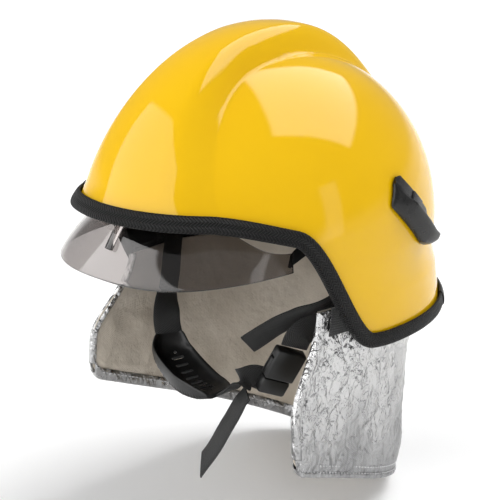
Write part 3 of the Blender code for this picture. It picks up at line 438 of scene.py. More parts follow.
def bead_foam():
    """Expanded foam: beads pressed flat against each other."""
    shade = Shade("Grey bead foam", (0.045, 0.045, 0.048), 0.85)
    beads = shade.cells(shade.place(), 330.0)
    shade.paint(shade.ramp(beads, (0.0, 0.018), (0.25, 0.055)))
    shade.bump((shade.math("MINIMUM", beads, 0.25), 0.0010))
    return shade.material


def plated_steel():
    shade = Shade("Zinc plated steel", (0.56, 0.57, 0.60), 0.30, Metallic=1.0)
    where = shade.place()
    stretched = shade.node("ShaderNodeMapping", {"Vector": where}, {"Scale": (1.0, 1.0, 18.0)})
    brushed = shade.noise(stretched.outputs[0], 260.0, 3.0)
    shade.gloss(shade.ramp(brushed, (0.3, 0.22), (0.7, 0.42)))
    shade.paint(shade.ramp(brushed, (0.3, (0.46, 0.47, 0.50)), (0.7, (0.62, 0.63, 0.66))))
    shade.bump((brushed, 0.00004))
    return shade.material


def tinted_glass():
    shade = Shade(
        "Tinted clear polycarbonate", (0.33, 0.302, 0.292), 0.02,
        Transmission_Weight=1.0, IOR=1.45, Coat_Weight=0.3,
    )
    haze = shade.noise(shade.place(), 30.0, 3.0)
    shade.gloss(shade.ramp(haze, (0.3, 0.0), (0.8, 0.05)))
    return shade.material


def grey_thread():
    shade = Shade("Grey thread", (0.62, 0.62, 0.63), 0.7, Sheen_Weight=0.3)
    shade.bump((shade.noise(shade.place(), 2500.0, 2.0), 0.0001))
    return shade.material


# ---------------------------------------------------------------- mesh helpers


def smoothstep(value):
    value = np.clip(value, 0.0, 1.0)
    return value * value * (3 - 2 * value)


def finish_piece(name, mesh, paint, body, smooth_angle=40):
    """Merges doubled points, points the faces out and puts the piece on its body."""
    bm = bmesh.new()
    bm.from_mesh(mesh)
    bmesh.ops.remove_doubles(bm, verts=bm.verts, dist=1e-6)
    bmesh.ops.recalc_face_normals(bm, faces=bm.faces)
    bm.to_mesh(mesh)
    bm.free()
    mesh.shade_smooth()
    mesh.set_sharp_from_angle(angle=radians(smooth_angle))
    mesh.materials.append(paint)
    obj = bpy.data.objects.new(name, mesh)
    bpy.context.scene.collection.objects.link(obj)
    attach(obj, body)
    return obj


def grid_piece(
    name, points, paint, body, ring=False, caps=False, fabric=None, smooth_angle=40
):
    """A mesh over rows and columns of points. ring joins the last column to the first."""
    rows, columns = points.shape[:2]
    index = np.arange(rows * columns).reshape(rows, columns)
    wide = np.concatenate([index, index[:, :1]], axis=1) if ring else index
    corners = (wide[:-1, :-1], wide[:-1, 1:], wide[1:, 1:], wide[1:, :-1])
    faces = np.stack(corners, axis=-1).reshape(-1, 4).tolist()
    if caps:
        faces += [index[0, ::-1].tolist(), index[-1].tolist()]
    mesh = bpy.data.meshes.new(name)
    mesh.from_pydata(points.reshape(-1, 3).tolist(), [], faces)
    if fabric is not None:
        layer = mesh.attributes.new("fabric", "FLOAT_VECTOR", "POINT")
        layer.data.foreach_set("vector", fabric.reshape(-1))
    return finish_piece(name, mesh, paint, body, smooth_angle)


def solidify(obj, thickness, offset):
    modifier = obj.modifiers.new("Solidify", "SOLIDIFY")
    modifier.thickness = thickness
    modifier.offset = offset
    modifier.use_even_offset = True


def round_edges(obj, width, segments=2, angle=radians(40)):
    modifier = obj.modifiers.new("Bevel", "BEVEL")
    modifier.width = width
    modifier.segments = segments
    modifier.limit_method = "ANGLE"
    modifier.angle_limit = angle


def rounded(outline, passes=2, closed=True):
    """Cuts the corners of an outline in each pass, so that it reads as round."""
    points = np.asarray(outline, float)
    for _ in range(passes):
        following = np.roll(points, -1, axis=0)
        if not closed:
            following = points[1:]
            points = points[:-1]
        near = points * 0.75 + following * 0.25
        far = points * 0.25 + following * 0.75
        points = np.stack([near, far], axis=1).reshape(-1, points.shape[-1])
    return points


def route(points, count):
    """Points along a smooth Catmull-Rom curve through the given ones."""
    knots = [Vector(p) for p in points]
    knots = [2 * knots[0] - knots[1], *knots, 2 * knots[-1] - knots[-2]]
    spans = len(points) - 1
    made = []
    for i in range(count + 1):
        at = i / count * spans
        k = min(int(at), spans - 1)
        t = at - k
        a, b, c, d = knots[k : k + 4]
        square = 2 * a - 5 * b + 4 * c - d
        cubic = 3 * b - a - 3 * c + d
        made.append(0.5 * (2 * b + (c - a) * t + square * t * t + cubic * t**3))
    return made


def axes_matrix(origin, x_axis, y_axis, z_axis):
    matrix = Matrix((x_axis, y_axis, z_axis)).transposed().to_4x4()
    matrix.translation = origin
    return matrix


def running_length(line):
    """How far along a line of points each point is."""
    steps = np.linalg.norm(np.diff(line, axis=0), axis=1)
    return np.concatenate([[0], np.cumsum(steps)])


def join_shapes(name, shapes, paint, body):
    """One piece from many (vertices, faces) shapes."""
    vertices = []
    faces = []
    for points, sides in shapes:
        start = len(vertices)
        vertices += [tuple(p) for p in points]
        faces += [[start + i for i in side] for side in sides]
    mesh = bpy.data.meshes.new(name)
    mesh.from_pydata(vertices, [], faces)
    return finish_piece(name, mesh, paint, body)


def stitch_shape(start, end, out, radius):
    """One stitch: a short plump bar that dips into the cloth at both ends."""
    start, end, out = Vector(start), Vector(end), Vector(out).normalized()
    ahead = (end - start).normalized()
    side = ahead.cross(out).normalized()
    rings = []
    sides = 6
    for share, swell in ((0.0, 0.25), (0.22, 0.9), (0.5, 1.0), (0.78, 0.9), (1.0, 0.25)):
        centre = start.lerp(end, share) + out * radius * (swell - 0.45)
        for k in range(sides):
            angle = 2 * pi * k / sides
            rings.append(centre + (side * cos(angle) + out * sin(angle)) * radius * swell)
    faces = []
    last = len(rings) - sides
    for low in range(0, last, sides):
        for k in range(sides):
            beside = (k + 1) % sides
            faces.append([low + k, low + beside, low + sides + beside, low + sides + k])
    faces += [list(range(sides - 1, -1, -1)), list(range(last, len(rings)))]
    return rings, faces


def stitch_row(line, outs, pitch=0.0036, length=0.0025, radius=0.00042):
    """Stitches along a line of points, lying on the side that outs point to."""
    reach = running_length(line)

    def at(distance, table):
        return [np.interp(distance, reach, table[:, k]) for k in range(3)]

    shapes = []
    for i in range(int(reach[-1] / pitch)):
        begin = (i + 0.15) * pitch
        start, end = at(begin, line), at(begin + length, line)
        shapes.append(stitch_shape(start, end, at(begin, outs), radius))
    return shapes


# ---------------------------------------------------------------- shell surface


def frontness(phi):
    return smoothstep((-np.sin(phi) - 0.35) / 0.5)


def rearness(phi):
    return smoothstep((np.sin(phi) + 0.2) / 0.8)


def profile_power(phi):
    """The side profile is a plain ellipse at the brow and fuller at the rear."""
    return 1.985 + 0.12 * np.sin(pi / 2 * np.clip(np.sin(phi) / 0.65, -1, 1))


def dome_point(phi, tau):
    """The bare dome: tau runs from 0 at the crown to 1 at the equator, then down the wall."""
    power = 2 / profile_power(phi)
    turn = np.minimum(tau, 1.0) * pi / 2
    radial = np.sin(turn) ** power
    drop = np.maximum(tau - 1, 0.0) * WALL_SPAN
    z = EQUATOR_Z + DOME_HEIGHT * np.maximum(np.cos(turn), 0.0) ** power * (tau < 1) - drop
    flare = 0.0035 * smoothstep((drop - 0.012) / 0.045)
    waist = rearness(phi) * (flare - 0.0015 * np.sin(pi * np.minimum(drop / 0.03, 1.0)))
    x = (HALF_WIDTH * radial + waist) * np.cos(phi)
    y = CENTRE_Y + (HALF_LENGTH * radial + waist) * np.sin(phi)
    return np.stack(np.broadcast_arrays(x, y, z), axis=-1)


def tau_at_height(phi, z):
    share = np.clip((z - EQUATOR_Z) / DOME_HEIGHT, 0.0, 1.0)
    above = np.arccos(share ** (profile_power(phi) / 2)) * 2 / pi
    return np.where(z <= EQUATOR_Z, 1 + (EQUATOR_Z - z) / WALL_SPAN, above)


def edge_height(phi):
    """The shell's edge is level over the brow, dips at the temples, drops in front of the ears
    and runs level behind. Each fall has a start and a span in degrees, and its share."""
    from_front = np.abs((np.degrees(phi) + 90 + 180) % 360 - 180) - 90
    fallen = 0.0
    for start, span, share in (TEMPLE_FALL, EAR_FALL):
        fallen = fallen + share * smoothstep((from_front - start) / span)
    return BROW_EDGE_Z + (SIDE_EDGE_Z - BROW_EDGE_Z) * fallen


def crest_height(point):
    """How far the crest stands out of the bare dome at this point."""
    x, y, z = point[..., 0], point[..., 1], point[..., 2]
    rise = np.arctan2(z - EQUATOR_Z, CENTRE_Y - y)
    width_share = smoothstep(1 - rise / radians(75))
    widening = CREST_BROW_HALF_WIDTH - CREST_TOP_HALF_WIDTH
    half_width = CREST_TOP_HALF_WIDTH + widening * width_share
    growth = smoothstep(rise / radians(CREST_GROWTH_ANGLE))
    height = CREST_BROW_HEIGHT + (CREST_HEIGHT - CREST_BROW_HEIGHT) * growth
    height = height * (1 - smoothstep((rise - radians(95)) / radians(60)))
    height = np.where(rise < 0, np.where(y < 0, CREST_BROW_HEIGHT, 0.0), height)
    across = (np.abs(x) / half_width - CREST_SHOULDER) / (1 - CREST_SHOULDER)
    crown_curve = 1 - 0.10 * (x / half_width) ** 2
    return height * crown_curve * (1 - np.clip(across, 0.0, 1.0) ** 2) ** 1.3


def unit(vectors):
    return vectors / np.maximum(np.linalg.norm(vectors, axis=-1, keepdims=True), 1e-12)


def bare_point(phi, tau):
    """The shell's outer surface with its crest but without the flared lip at the edge."""
    point = dome_point(phi, tau)
    up = np.maximum(point[..., 2] - EQUATOR_Z, 0.0) / DOME_HEIGHT**2
    side = point[..., 0] / HALF_WIDTH**2
    back = (point[..., 1] - CENTRE_Y) / HALF_LENGTH**2
    outward = unit(np.stack([side, back, up], axis=-1))
    return point + outward * crest_height(point)[..., None]


def lip_size(phi):
    return 0.0006 + 0.0022 * frontness(phi)


def lip_flare(phi, distance):
    """How far the edge lip stands out, this far up from the shell's edge."""
    size = lip_size(phi)
    above = size * np.clip(1 - distance / LIP_REACH, 0.0, 1.0) ** 2
    return np.where(distance < 0, size * (1 - 2 * distance / LIP_REACH), above)


def edge_frame(phi):
    """The edge points, and the directions along, out of and up from the edge."""
    step = radians(0.5)
    tau = tau_at_height(phi, edge_height(phi))
    here = bare_point(phi, tau)
    ahead = bare_point(phi + step, tau_at_height(phi + step, edge_height(phi + step)))
    behind = bare_point(phi - step, tau_at_height(phi - step, edge_height(phi - step)))
    along = unit(ahead - behind)
    rising = unit(bare_point(phi, tau - 0.02) - bare_point(phi, tau + 0.02))
    out = unit(np.cross(along, rising))
    return here, out, np.cross(out, along)


def shell_point(phi, tau):
    """The whole outer surface, lip included."""
    point = bare_point(phi, tau)
    here, _, up = edge_frame(phi)
    distance = np.maximum(np.sum((point - here) * up, axis=-1), 0.0)
    level = (HALF_LENGTH * np.cos(phi), HALF_WIDTH * np.sin(phi), 0.0)
    normal = unit(np.stack(np.broadcast_arrays(*level), axis=-1))
    return point + normal * lip_flare(phi, distance)[..., None]


def wall_point(side, y, z, offset):
    """A point beside the shell's side wall, offset outwards along the wall's normal."""

    def surface(y, z):
        sine = (y - CENTRE_Y) / HALF_LENGTH
        for _ in range(12):
            phi = np.arcsin(sine)
            found = dome_point(phi, tau_at_height(phi, z))
            sine = sine + (y - found[1]) / HALF_LENGTH
        return Vector((found[0], y, z))

    step = 0.001
    back = surface(y + step, z) - surface(y - step, z)
    rise = surface(y, z + step) - surface(y, z - step)
    point = surface(y, z) + back.cross(rise).normalized() * offset
    return Vector((side * point.x, point.y, point.z))


def make_shell():
    columns, outer_rows, inner_rows = 360, 120, 36
    phi = np.linspace(0, 2 * pi, columns, endpoint=False)[None, :]
    edge_tau = tau_at_height(phi, edge_height(phi))
    spread = 1 - np.linspace(0, 1, outer_rows + 1)[:, None] ** 1.25
    outer = shell_point(phi, edge_tau * (1 - spread))
    inner_tau = edge_tau * np.linspace(1, 0, inner_rows + 1)[:, None]
    step = 0.004
    safe_tau = np.clip(inner_tau, step, edge_tau - step)
    around = shell_point(phi + step, safe_tau) - shell_point(phi - step, safe_tau)
    down = shell_point(phi, safe_tau + step) - shell_point(phi, safe_tau - step)
    inner = shell_point(phi, inner_tau) - unit(np.cross(down, around)) * SHELL_THICKNESS
    inner[-1] = inner[-1].mean(axis=0)
    rows = np.concatenate([outer, inner])
    shell = grid_piece(
        "shell_skin", rows, PAINT["yellow"], "helmet", ring=True, smooth_angle=50
    )
    shell.data.materials.append(PAINT["shell_inside"])
    for face in shell.data.polygons:
        x, y, z = face.center
        outward = Vector((x, y - CENTRE_Y, max(z - EQUATOR_Z, 0.0)))
        face.material_index = int(face.normal.dot(outward) < 0)
    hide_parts("shell")


def trim_piece(name, start, end, face, paint):
    """The U-shaped beading round the shell's edge, between two plan angles in degrees."""
    top, thickness, drop = face
    phi = np.radians(np.arange(start, end + 0.5, 1.0))
    here, out, up = edge_frame(phi)
    slope = np.arctan2(2 * lip_size(phi), LIP_REACH)
    sections = []
    for i, angle in enumerate(phi):
        inner = SHELL_THICKNESS / cos(slope[i]) + TRIM_SLOT_GAP
        sunk = SHELL_THICKNESS * sin(slope[i])
        floor = -0.0006 - sunk
        low = -(drop + sunk)
        outline = rounded(
            [
                (TRIM_SLOT_GAP, top),
                (TRIM_SLOT_GAP + 0.0008, top + 0.0014),
                (TRIM_SLOT_GAP + 0.0024, top + 0.0006),
                (thickness + 0.0002, 0.35 * top),
                (thickness, 0.6 * low),
                (thickness - 0.0020, low - 0.0002),
                (-inner, low),
                (-inner - TRIM_INNER_LEG, 0.5 * low),
                (-inner - TRIM_INNER_LEG, 0.0045),
                (-inner, 0.0055),
                (-inner, floor),
                (TRIM_SLOT_GAP, floor),
            ]
        )
        outward = outline[:, 0] + lip_flare(angle, outline[:, 1])
        sections.append(here[i] + out[i] * outward[:, None] + up[i] * outline[:, 1:])
    points = np.array(sections)
    fabric = np.zeros(points.shape)
    fabric[..., 0] = running_length(points[len(points) // 2])[None, :]
    fabric[..., 1] = running_length(points.mean(axis=1))[:, None]
    return grid_piece(name, points, paint, "helmet", ring=True, caps=True, fabric=fabric)


def make_trim():
    pieces = (
        ("edge_beading", GUARD_END, GUARD_START + 360, TRIM_FACE, "rubber", "trim", "edge_trim"),
        (
            "rear_guard", GUARD_START + GUARD_GAP, GUARD_END - GUARD_GAP, GUARD_FACE, "smooth_rubber",
            "guard", "rear_edge_guard",
        ),
    )
    for name, start, end, face, paint, slot, node in pieces:
        made = trim_piece(name, start, end, face, PAINT[paint])
        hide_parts(node)


# ---------------------------------------------------------------- eye shield


def lens_points(angle, rise):
    power = 2.0 + 0.6 * (1 - smoothstep(rise / 0.030))
    half_width = LENS_HALF_WIDTH - LENS_NARROWING * rise
    reach = LENS_REACH - LENS_LEAN * rise
    x = np.sign(angle) * np.abs(np.sin(angle)) ** (2 / power) * half_width
    y = LENS_CENTRE_Y - np.cos(angle) ** (2 / power) * reach
    z = LENS_EDGE_Z - LENS_DIP * np.cos(angle) ** 2 + rise
    return np.stack(np.broadcast_arrays(x, y, z), axis=-1)


def make_lens():
    angle = np.radians(np.linspace(-LENS_END_ANGLE, LENS_END_ANGLE, 161))[None, :]
    height = LENS_END_RISE + (LENS_FRONT_RISE - LENS_END_RISE) * np.cos(angle) ** 2
    points = lens_points(angle, height * np.linspace(0, 1, 25)[:, None])
    lens = grid_piece("visor_glass", points, PAINT["glass"], "visor")
    solidify(lens, LENS_THICKNESS, -1)
    round_edges(lens, 0.0007, 3)
    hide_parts("visor_lens")


# ---------------------------------------------------------------- lamp brackets


def bracket_spot(side, along, across, height):
    """A point on the side wall, by the bracket's own run and width."""
    y = along * BRACKET_RUN[0] + across * BRACKET_ACROSS[0]
    z = along * BRACKET_RUN[1] + across * BRACKET_ACROSS[1]
    return wall_point(side, y, z, height)


def bracket_section(along):
    """The bracket's section at this distance down its run, as (across, height) points: a thin
    plate behind, and a scoop that swells out of the wall in front and ends in a free lip."""
    opening = smoothstep((along - 0.003) / 0.006)
    closing = smoothstep((along - 0.052) / 0.018)
    base = 0.0093 + 0.0135 * (1 - opening) + 0.0045 * closing
    lip = 0.0200 + 0.0055 * (1 - smoothstep((along - 0.003) / 0.014)) + 0.003 * closing
    swell = smoothstep((along - 0.003) / 0.020) * (1 - 0.30 * smoothstep((along - 0.060) / 0.010))
    rise = 0.0034 + 0.0076 * swell
    plate_end = 0.0290 + 0.0035 * smoothstep((along - 0.003) / 0.004)
    plate_end += (lip + 0.0005 - plate_end) * smoothstep((along - 0.047) / 0.012)
    reach = lip - base
    inside = base + min(0.55 * reach, 0.0050)
    hollow = rise - BRACKET_PLATE
    return [
        (plate_end, BRACKET_BASE),
        (plate_end, BRACKET_PLATE),
        (max(inside + 0.0030, base + 0.6 * reach), BRACKET_PLATE),
        (inside, BRACKET_PLATE + 0.15 * hollow),
        (inside + 0.18 * reach, BRACKET_PLATE + 0.62 * hollow),
        (lip, rise - BRACKET_LIP),
        (lip + 0.0006, rise),
        (lip - 0.0008, rise + 0.0005),
        (base + 0.62 * reach, BRACKET_PLATE + 0.84 * hollow + 0.0006),
        (base + 0.20 * reach, BRACKET_PLATE + 0.46 * hollow),
        (base, BRACKET_BASE + 0.0008),
        (base, BRACKET_BASE),
    ]


def make_brackets():
    start, end = BRACKET_LENGTH
    for side, name in ((1, "left"), (-1, "right")):
        rows = []
        for share in np.linspace(0, 1, BRACKET_SECTIONS):
            along = start + (end - start) * share
            outline = rounded(bracket_section(along), 1)
            rows.append([bracket_spot(side, along, across, height) for across, height in outline])
        made = grid_piece(
            f"lamp_clip_{name}", np.array(rows), PAINT["bracket"], "helmet",
            ring=True, caps=True, smooth_angle=48,
        )
        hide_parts(f"lamp_bracket_{name}")
        bracket_block(f"lamp_seat_{name}", side)


def bracket_block(name, side):
    """The raised flat seat on the plate that a lamp's foot sits on."""
    along, across = BRACKET_MIDDLE
    centre = bracket_spot(side, along, across, 0.0)
    top = bracket_spot(side, along, across, 0.01)
    out = (top - centre).normalized()
    run = bracket_spot(side, along + 0.004, across, 0.0)
    run -= bracket_spot(side, along - 0.004, across, 0.0)
    run = (run - run.project(out)).normalized()
    width = out.cross(run)
    bm = bmesh.new()
    bmesh.ops.create_cube(bm, size=1.0)
    bmesh.ops.scale(bm, vec=LAMP_SEAT, verts=bm.verts)
    bmesh.ops.bevel(bm, geom=bm.edges[:], offset=0.0008, segments=3, affect="EDGES", profile=0.5)
    middle = centre + out * (BRACKET_BASE + LAMP_SEAT[2] / 2)
    bm.transform(axes_matrix(middle, run, width, out))
    mesh = bpy.data.meshes.new(name)
    bm.to_mesh(mesh)
    bm.free()
    finish_piece(name, mesh, PAINT["bracket"], "helmet", 60)


# ---------------------------------------------------------------- chin cup


def cup_frame(share):
    """Centre, and the directions along, forward of and up from the chin cup's section."""
    centres = route(CUP_ROUTE, CUP_ROUTE_STEPS)
    nearest = round(share * CUP_ROUTE_STEPS)
    index = min(max(nearest, 1), CUP_ROUTE_STEPS - 1)
    centre = centres[nearest]
    along = (centres[index + 1] - centres[index - 1]).normalized()
    up = Vector((-0.02, -0.10, 1.0))
    up = (up - up.project(along)).normalized()
    front = along.cross(up).normalized()
    if front.y > 0:
        front = -front
    return centre, along, front, up


def cup_section(belly):
    """The cup's section, a plate with a raised front wall: belly is 1 at mid cup, 0 at its ends."""
    back = 0.0085 + 0.0105 * belly
    front = 0.0085 + 0.0040 * belly
    wall = 0.0015 + 0.011 * belly
    outline = (
        (-back, 0.0024 + 0.002 * belly),
        (-back * 0.75, 0.0012),
        (front * 0.55, 0.0008),
        (front * 0.85, wall * 0.45),
        (front, wall),
        (front + 0.002, wall),
        (front + 0.0026, wall * 0.3 - 0.0010),
        (front * 0.80, -0.0022),
        (-back * 0.75, -0.0014),
        (-back - 0.0015, 0.0016 + 0.002 * belly),
    )
    return rounded(outline), front, wall


def make_cup():
    sections = []
    for i in range(CUP_STEPS + 1):
        share = i / CUP_STEPS
        centre, _, front, up = cup_frame(share)
        belly = sin(pi * share) ** 0.7 if 0 < share < 1 else 0.0
        outline, front_width, wall = cup_section(belly)
        rib = 0.00045 * max(0.0, sin(2 * pi * share * CUP_RIBS)) * min(1.0, 6 * min(share, 1 - share))
        ring = []
        for out, rise in outline:
            outer = smoothstep((0.35 * wall - rise) / 0.002)
            outer *= smoothstep((out - front_width * 0.5) / 0.004)
            ring.append(centre + front * (out + rib * outer) + up * (rise - 0.6 * rib * outer))
        sections.append(ring)
    cup = grid_piece(
        "chin_rest", np.array(sections), PAINT["cup"], "chin_strap", ring=True, caps=True
    )
    for index, (share, back, size) in enumerate(CUP_SLOTS + CUP_HOLES):
        cut_slot(cup, index, share, back, size)
    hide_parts("chin_cup")


def cut_slot(cup, index, share, back, size):
    """Cuts one through slot with round ends; its cutter is never shown."""
    centre, along, front, up = cup_frame(share)
    bm = bmesh.new()
    bmesh.ops.create_cone(bm, cap_ends=True, segments=24, radius1=0.5, radius2=0.5, depth=0.02)
    width, length = size
    stretch = (length - width) / 2
    for vertex in bm.verts:
        vertex.co.x *= width
        vertex.co.y = vertex.co.y * width + (stretch if vertex.co.y > 0 else -stretch)
    bm.transform(axes_matrix(centre - front * back, along, up.cross(along), up))
    mesh = bpy.data.meshes.new(f"cutter_{index}")
    bm.to_mesh(mesh)
    bm.free()
    cutter = bpy.data.objects.new(f"cutter_{index}", mesh)
    bpy.context.scene.collection.objects.link(cutter)
    cutter.hide_render = True
    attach(cutter, "chin_strap")
    modifier = cup.modifiers.new("Slot", "BOOLEAN")
    modifier.object = cutter
    modifier.operation = "DIFFERENCE"
    modifier.solver = "EXACT"


# ---------------------------------------------------------------- straps


def webbing(name, points, across, body, node, width=WEBBING_WIDTH, slant=0.0):
    """A flat woven strap with soft edges along a route, and a slanted cut at its end."""
    count = WEBBING_STEPS
    centres = route(points, count)
    directions = route(across, count)
    half = WEBBING_THICKNESS / 2
    shares = (-0.5, -0.25, 0.0, 0.25, 0.5)
    outline = [(share, -half) for share in shares] + [(share, half) for share in shares[::-1]]
    outline = rounded(outline, 1)
    outline[:, 0] *= width
    sections = []
    along = 0.0
    fabric = []
    for i, centre in enumerate(centres):
        ahead = centres[min(i + 1, count)] - centres[max(i - 1, 0)]
        ahead.normalize()
        side = directions[i] - directions[i].project(ahead)
        side.normalize()
        face = ahead.cross(side)
        if i:
            along += (centre - centres[i - 1]).length
        share = smoothstep((i - count * 0.8) / (count * 0.2))
        ring = []
        for u, v in outline:
            wave = 0.00025 * sin(along * 210 + u * 90) * (1 - abs(u) / width)
            ring.append(centre + side * u + face * (v + wave) + ahead * slant * u * share)
        sections.append(ring)
        fabric.append([(u, along + slant * u * share, v) for u, v in outline])
    made = grid_piece(
        name, np.array(sections), PAINT["webbing"], body, ring=True, caps=True,
        fabric=np.array(fabric), smooth_angle=60,
    )
    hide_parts(node)


def make_straps():
    side_on = Vector((-0.10, 0.95, -0.30))
    cup_end, along, front, up = cup_frame(0.0)
    far = [
        (-STRAP_START.x, STRAP_START.y, STRAP_START.z),
        (-0.0940, 0.000, -0.0640),
        (-0.0875, -0.008, -0.0780),
        (-0.0755, -0.022, -0.0940),
        (-0.0600, -0.037, -0.1085),
        cup_end + along * 0.0030 - up * 0.0030,
    ]
    webbing("far_strap", far, [side_on] * 4 + [-front] * 2, "chin_strap", "chin_strap_right")

    cup_end, along, front, _ = cup_frame(1.0)
    lower_end = BUCKLE_CENTRE - BUCKLE_AXIS * 0.0190 + BUCKLE_SIDE * 0.0055
    lower = [
        cup_end + along * 0.0042,
        (0.047, -0.072, -0.1225),
        lower_end - BUCKLE_ACROSS * 0.0145 + BUCKLE_SIDE * 0.0012,
        lower_end,
    ]
    across = [-front, -front, BUCKLE_AXIS, BUCKLE_AXIS]
    webbing("lower_strap", lower, across, "chin_strap", "chin_strap_lower", NARROW_WEBBING)
    tail = [
        (0.0570, -0.0675, -0.1245),
        (0.0535, -0.071, -0.1320),
        (0.0468, -0.0757, -0.1470),
        (0.0395, -0.080, -0.1630),
        (0.0300, -0.085, -0.1800),
    ]
    lean = Vector((0.84, -0.22, 0.36))
    webbing("hanging_end", tail, [lean] * 5, "chin_strap", "chin_strap_tail", slant=0.35)

    upper_end = BUCKLE_CENTRE + BUCKLE_AXIS * (SOCKET_LENGTH / 2 + 0.0030)
    upper = [
        STRAP_START,
        (0.0950, -0.007, -0.0640),
        (0.0895, -0.022, -0.0760),
        upper_end + BUCKLE_AXIS * 0.012,
        upper_end,
    ]
    webbing("near_strap", upper, [side_on] * 3 + [BUCKLE_ACROSS] * 2, "helmet", "chin_strap_upper")
    spare = [
        (0.0900, 0.002, -0.0610),
        (0.0865, -0.028, -0.0660),
        (0.0770, -0.042, -0.0710),
        (0.0630, -0.050, -0.0815),
        (0.0460, -0.056, -0.0955),
    ]
    lean = Vector((0.58, -0.12, 0.82))
    across = [Vector((0, 0.3, 0.95)), *[lean] * 4]
    webbing("pull_strap", spare, across, "helmet", "strap_pull_end", NARROW_WEBBING, slant=-0.25)


# ---------------------------------------------------------------- neck protector


def protector_plan(share, height, inset):
    """Plan point of the cloth: share runs from the left front edge round the back to the right."""
    half_width = PROTECTOR_HALF_WIDTH[0] + PROTECTOR_HALF_WIDTH[1] * height - inset
    rear_reach = PROTECTOR_REAR_REACH[0] + PROTECTOR_REAR_REACH[1] * height - inset
    mirrored = share > 0.5
    drift = np.where(mirrored, PROTECTOR_DRIFT, 0.0)
    front_y = PROTECTOR_FRONT_Y[0] + (PROTECTOR_FRONT_Y[1] - drift) * smoothstep(height / 0.75)
    front_x = PROTECTOR_FRONT_X[0] + (PROTECTOR_FRONT_X[1] + drift / 2) * height - inset
    at = np.where(mirrored, 1 - share, share)
    in_front = at < PROTECTOR_STRAIGHT
    blend = np.minimum(at / PROTECTOR_STRAIGHT, 1.0)
    angle = pi / 2 * np.maximum(at - PROTECTOR_STRAIGHT, 0.0) / (0.5 - PROTECTOR_STRAIGHT)
    side_x = front_x + (half_width - front_x) * blend
    side_y = front_y + (CENTRE_Y - front_y) * blend
    x = np.where(in_front, side_x, half_width * np.cos(angle))
    y = np.where(in_front, side_y, CENTRE_Y + rear_reach * np.sin(angle))
    return np.where(mirrored, -x, x), y


def hem_z(x, y, share, shorten=0.0):
    """Height of the cloth's lower edge; its two front corners are rounded."""
    slope = (REAR_HEM[1] - FRONT_HEM[1]) / (REAR_HEM[0] - FRONT_HEM[0])
    radius = PROTECTOR_CORNER
    short = np.clip(radius - np.minimum(share, 1 - share) * PROTECTOR_LENGTH, 0.0, radius)
    lift = radius - np.sqrt(radius**2 - short**2)
    return FRONT_HEM[1] + (y - FRONT_HEM[0]) * slope + shorten - PROTECTOR_TILT * x + lift


def cloth_z(x, y, share, height, shorten=0.0):
    """Height of a point of the cloth: height is 0 at its top and 1 at its hem."""
    return PROTECTOR_TOP_Z + (hem_z(x, y, share, shorten) - PROTECTOR_TOP_Z) * height


def protector_grid(inset, shorten, levels):
    share = np.linspace(0, 1, CLOTH_COLUMNS + 1)[None, :]
    height = np.linspace(0, 1, levels + 1)[:, None]
    x, y = protector_plan(share, height, inset)
    z = cloth_z(x, y, share, height, shorten)
    return np.stack(np.broadcast_arrays(x, y, z), axis=-1), share, height


def cloth_row(share, height, inset, rise=None):
    """One row of points: at a height of the cloth, or at a rise above its hem."""
    x, y = protector_plan(share, height, inset)
    z = cloth_z(x, y, share, height) if rise is None else hem_z(x, y, share) + rise
    return np.stack([x[0], y[0], z[0]], axis=-1)


def cloth_fabric(points):
    """Cloth coordinates in metres: across and down the sheet."""
    across = np.linalg.norm(np.diff(points, axis=1), axis=2).cumsum(axis=1)
    down = np.linalg.norm(np.diff(points, axis=0), axis=2).cumsum(axis=0)
    fabric = np.zeros(points.shape)
    fabric[:, 1:, 0] = across.mean(axis=0)
    fabric[1:, :, 1] = down
    return fabric


def crumpled(points, fade, depth, scale, seed):
    """Pushes the cloth in and out along its own normal; fade is 0 where it is held."""
    around = np.gradient(points, axis=1)
    down = np.gradient(points, axis=0)
    normal = unit(np.cross(around, down))
    made = points.copy()
    rows, columns = points.shape[:2]
    for i in range(rows):
        for j in range(columns):
            spot = Vector(points[i, j]) * scale + Vector((seed, 0, 0))
            large = noise.noise(spot)
            ridge = 1 - 2 * abs(noise.noise(spot * 2.3 + Vector((0, 7, 0))))
            fine = noise.noise(spot * 6.0)
            push = depth * fade[i, j] * max(large + 0.45 * ridge + 0.25 + 0.22 * fine, 0.0)
            made[i, j] -= normal[i, j] * push
    return made


def cloth_piece(name, points, slot, thickness, offset):
    """A sheet with a thickness; its paint has its slot's name."""
    made = grid_piece(
        name, points, PAINT[slot], "helmet", fabric=cloth_fabric(points), smooth_angle=180
    )
    solidify(made, thickness, offset)
    return made


def make_neck_protector():
    outer, share, height = protector_grid(0.0, 0.0, 90)
    edge = np.minimum(np.minimum(share, 1 - share) / 0.03, 1.0)
    hold = smoothstep(height / 0.25) * smoothstep((1 - height) / 0.12) * edge
    outer = crumpled(outer, hold, depth=0.0022, scale=34.0, seed=3.0)
    cloth = cloth_piece("aluminised_curtain", outer, "aluminised", CLOTH_THICKNESS, -1)
    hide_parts("neck_protector_outer")

    lining, share, height = protector_grid(LINING_INSET, LINING_SHORTER, 80)
    lining = wrinkled_lining(lining, share, height)
    inside = cloth_piece("lining_curtain", lining, "lining", CLOTH_THICKNESS, -1)
    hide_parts("neck_protector_lining")

    edges = [make_hem_fold(), *make_front_folds(), make_protector_stitches()]


